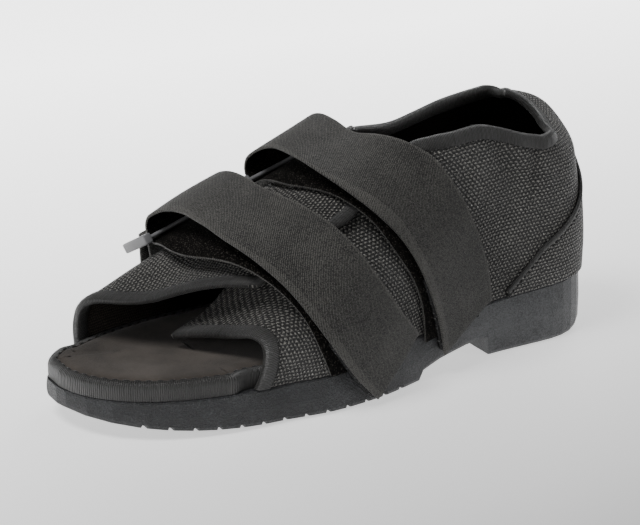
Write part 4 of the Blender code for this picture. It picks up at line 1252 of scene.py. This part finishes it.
def build_straps():
    """Each strap, the hook patch under its end, its ring's tab and the ring's finish."""
    for name, under, ring, over in (("front", FRONT_UNDER, FRONT_RING, FRONT_OVER),
                                    ("back", BACK_UNDER, BACK_RING, BACK_OVER)):
        cut = math.tan(math.radians(-under[0][4]))
        spacing = 0.0020
        grid = ribbon(strap_rows(under, ring, over), STRAP_WIDTH, spacing, 13, cut)
        normal = grid_normals(grid)
        strap = lay_cloth(name + "_strap_webbing", grid, (WEBBING, PILE_AND_PAINTED_SHADE), (len(grid) - 12, 6, (0.0, 1.0, 0.2)))
        apply_modifier(strap, "SOLIDIFY", thickness=STRAP, offset=0.0, material_offset=1)
        apply_modifier(strap, "BEVEL", width=0.00035, segments=2, limit_method="ANGLE", angle_limit=1.0)
        strap.data.shade_smooth()
        finish_piece(strap, "strap_webbing", name + "_strap")
        count = int(round(HOOK_LENGTH / spacing)) + 1
        patch = grid[-count:].copy()
        across = patch[:, -1] - patch[:, 0]
        across /= np.linalg.norm(across, axis=1, keepdims=True)
        lengthways = np.linspace(0.0, 1.0, count)
        widths = np.linspace(-0.5, 0.5, 13)
        middle_line = patch[:, 6].copy()
        for i in range(count):
            end = (1.0 - lengthways[i]) * HOOK_LENGTH
            rounding = math.sqrt(max(1.0 - (1.0 - min(end / 0.006, 1.0)) ** 2, 0.02))
            width = STRAP_WIDTH + 2.0 * HOOK_OVERHANG - 0.010 * (1.0 - rounding)
            patch[i] = middle_line[i] + across[i] * widths[:, None] * width
        patch = patch - normal[-count:] * (STRAP + GAP)
        hook = lay_cloth(name + "_hook_tape", patch, (HOOKS,), (count // 2, 6, normal[-count // 2, 6]))
        apply_modifier(hook, "SOLIDIFY", thickness=STRAP, offset=0.0)
        finish_piece(hook, "hook_tape", name + "_hook_patch")
        tab_points = tab_grid(ring, 0.0010, 9)
        tab = lay_cloth(name + "_tab_webbing", tab_points, (WEBBING,), (5, 3, (0.0, -1.0, 0.0)))
        apply_modifier(tab, "SOLIDIFY", thickness=STRAP, offset=0.0)
        finish_piece(tab, "strap_webbing", name + "_ring_tab")
        build_ring(name + "_ring", ring)


def set_finish(node, material):
    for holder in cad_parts[node].material_slots:
        holder.material = material


def footbed_inset(side, share):
    front = read_table(LEFT_FRONT if side > 0 else RIGHT_FRONT, 1, 0.0)
    covered = UPPER_INSET + WALL + 0.0008 + GAP
    return covered + (FOOTBED_TOE_INSET - covered) * smoothstep(front + 0.012, front + 0.042, share)


# Section of the wrapped footbed from its lower edge to its middle: place in from the side and
# depth below the top, in metres
FOOTBED_SECTION = (
    (0.0000, None),
    (0.0000, 0.0060),
    (0.0000, 0.0030),
    (0.0003, 0.0018),
    (0.0010, 0.0008),
    (0.0021, 0.0002),
    (0.0034, 0.0001),
    (0.0042, 0.0006),
    (0.0047, 0.0009),
    (0.0052, 0.0005),
    (0.0070, 0.0000),
    (0.0110, 0.0000),
)


def build_footbed():
    """Board with a ribbed tape round its edge and brushed cloth on top, sewn near the edge."""
    low_share = (footbed_inset(1, 0.0) + 0.0006) / LENGTH
    high_share = 1.0 - (FOOTBED_TOE_INSET + 0.0006) / LENGTH
    outline = []
    for position in 0.5 * (1.0 - np.cos(np.linspace(0.0, math.pi, 170))):
        share = low_share + (high_share - low_share) * position
        outline.append((share, 1))
    outline += [(share, -1) for share, _ in outline[-2:0:-1]]
    outline.append(outline[0])
    edge = []
    for share, side in outline:
        wide = half_width(side, share, footbed_inset(side, share))
        edge.append((lengthwise(share), side * wide))
    edge = np.array(edge)
    travelled = np.concatenate(([0.0], np.cumsum(np.linalg.norm(np.diff(edge, axis=0), axis=1))))
    places = np.linspace(0.0, travelled[-1], 420)
    edge = np.stack([np.interp(places, travelled, edge[:, k]) for k in range(2)], axis=1)
    run = np.roll(edge[:-1], -1, axis=0) - np.roll(edge[:-1], 1, axis=0)
    run = np.concatenate([run, run[:1]])
    run /= np.linalg.norm(run, axis=1, keepdims=True)
    inward = np.stack([run[:, 1], -run[:, 0]], axis=1)
    if inward[100] @ -edge[100] < 0.0:
        inward = -inward
    rings = []
    seam = []
    for point, way in zip(edge, inward):
        ring = []
        for into, below in FOOTBED_SECTION:
            x, y = point + way * into
            share = min(max(x / LENGTH + 0.5, 0.0), 1.0)
            top = sole_top(share) + FOOTBED
            ring.append((x, y, sole_top(share) + GAP if below is None else top - below))
        seam.append(ring[7])
        start = np.array(ring[-1])
        centre = np.array([np.clip(start[0], lengthwise(0.14), lengthwise(0.86)), 0.0])
        shift = 0.05 * smoothstep(0.3, 0.6, start[0] / LENGTH + 0.5)
        centre[1] = 0.0 + shift * BALL_WIDTH - 0.10 * BALL_WIDTH * smoothstep(0.62, 0.86, start[0] / LENGTH + 0.5)
        for t in (0.2, 0.45, 0.7, 0.9, 1.0):
            x, y = start[:2] + (centre - start[:2]) * t
            dish = 0.0009 * smoothstep(0.0, 0.6, t)
            share = min(max(x / LENGTH + 0.5, 0.0), 1.0)
            ring.append((x, y, sole_top(share) + FOOTBED - dish))
        rings.append(ring)
    piece = lay_cloth("wrapped_footbed", rings, (TAPE, SUEDE), (100, 2, (0.0, 1.0, 0.0)), close=True)
    columns = len(rings[0]) - 1
    mesh = piece.data
    for polygon in mesh.polygons:
        x, y, z = polygon.center
        share = min(max((x - SHIFT[0]) / LENGTH + 0.5, 0.0), 1.0)
        flat = polygon.normal.z > 0.6
        side = 1 if y - SHIFT[1] > 0.0 else -1
        wide = half_width(side, share, footbed_inset(side, share) + 0.0045)
        inside = abs(y - SHIFT[1]) < wide and share < high_share - 0.0155
        polygon.material_index = 1 if flat and inside else 0
    assert columns > 0
    finish_piece(piece, "footbed_cloth", "footbed")
    seam = np.array(seam)
    up = np.tile(np.array([0.0, 0.0, 1.0]), (len(seam), 1))
    build_stitches("footbed_stitches", seam + up * 0.0003, up, spacing=0.0052, length=0.0034, thickness=0.0005)


def build_floor():
    bpy.ops.mesh.primitive_plane_add(size=6.0, location=(0.0, 0.0, -0.0002))
    floor = bpy.context.object
    floor.name = "floor"
    made = Finish("pale_floor", (0.56, 0.56, 0.56), 0.7)
    place = made.node("ShaderNodeSeparateXYZ", Vector=made.coordinates("Object"))
    # Painted light: the floor glows, brighter far from the camera than near it
    far = made.node("ShaderNodeMapRange", Value=place.outputs["Y"])
    far.inputs["From Min"].default_value = 0.25
    far.inputs["From Max"].default_value = -0.60
    far.inputs["To Min"].default_value = FLOOR_GLOW_NEAR
    far.inputs["To Max"].default_value = FLOOR_GLOW_FAR
    made.plug("Emission Strength", far.outputs[0])
    made.shader.inputs["Emission Color"].default_value = (1.0, 1.0, 1.0, 1.0)
    floor.data.materials.append(made.material)
    floor.select_set(False)


def add_light(name, place, target, size, power):
    light = bpy.data.lights.new(name, "AREA")
    light.shape = "DISK"
    light.size = size
    light.energy = power
    holder = bpy.data.objects.new(name, light)
    bpy.context.collection.objects.link(holder)
    holder.location = place
    holder.rotation_euler = (Vector(place) - Vector(target)).to_track_quat("Z", "Y").to_euler()


def build_studio():
    """Camera at the photograph's angle, soft light from above and a bright surround."""
    turn, rise = math.radians(CAMERA_TURN), math.radians(CAMERA_RISE)
    back = Vector((math.sin(turn) * math.cos(rise), -math.cos(turn) * math.cos(rise), math.sin(rise)))
    target = Vector(CAMERA_TARGET) + Vector(SHIFT)
    camera = bpy.data.cameras.new("camera")
    camera.lens = CAMERA_LENS
    camera.sensor_width = 36.0
    camera.clip_start = 0.01
    holder = bpy.data.objects.new("camera", camera)
    bpy.context.collection.objects.link(holder)
    holder.location = target + back * CAMERA_DISTANCE
    holder.rotation_euler = back.to_track_quat("Z", "Y").to_euler()
    bpy.context.scene.camera = holder
    add_light("top_light", (0.50, 0.05, 1.00), (0.0, 0.0, 0.05), 0.45, 11.0)
    add_light("side_light", (1.05, 0.65, 0.50), (0.0, 0.0, 0.05), 0.5, 3.0)
    add_light("back_light", (-0.75, -0.55, 0.70), (0.0, 0.0, 0.08), 0.5, 4.0)
    add_light("heel_light", (-0.70, 0.80, 0.45), (0.0, 0.0, 0.06), 0.5, 2.5)
    world = bpy.data.worlds.new("surround")
    bpy.context.scene.world = world
    world.use_nodes = True
    world.node_tree.nodes["Background"].inputs["Color"].default_value = (0.95, 0.96, 1.0, 1.0)
    world.node_tree.nodes["Background"].inputs["Strength"].default_value = 0.14


build_studio()
build_floor()
set_finish("outsole", RUBBER)
upper, upper_normal = build_upper()
build_bindings(upper, upper_normal)
build_counter()
build_straps()
build_footbed()
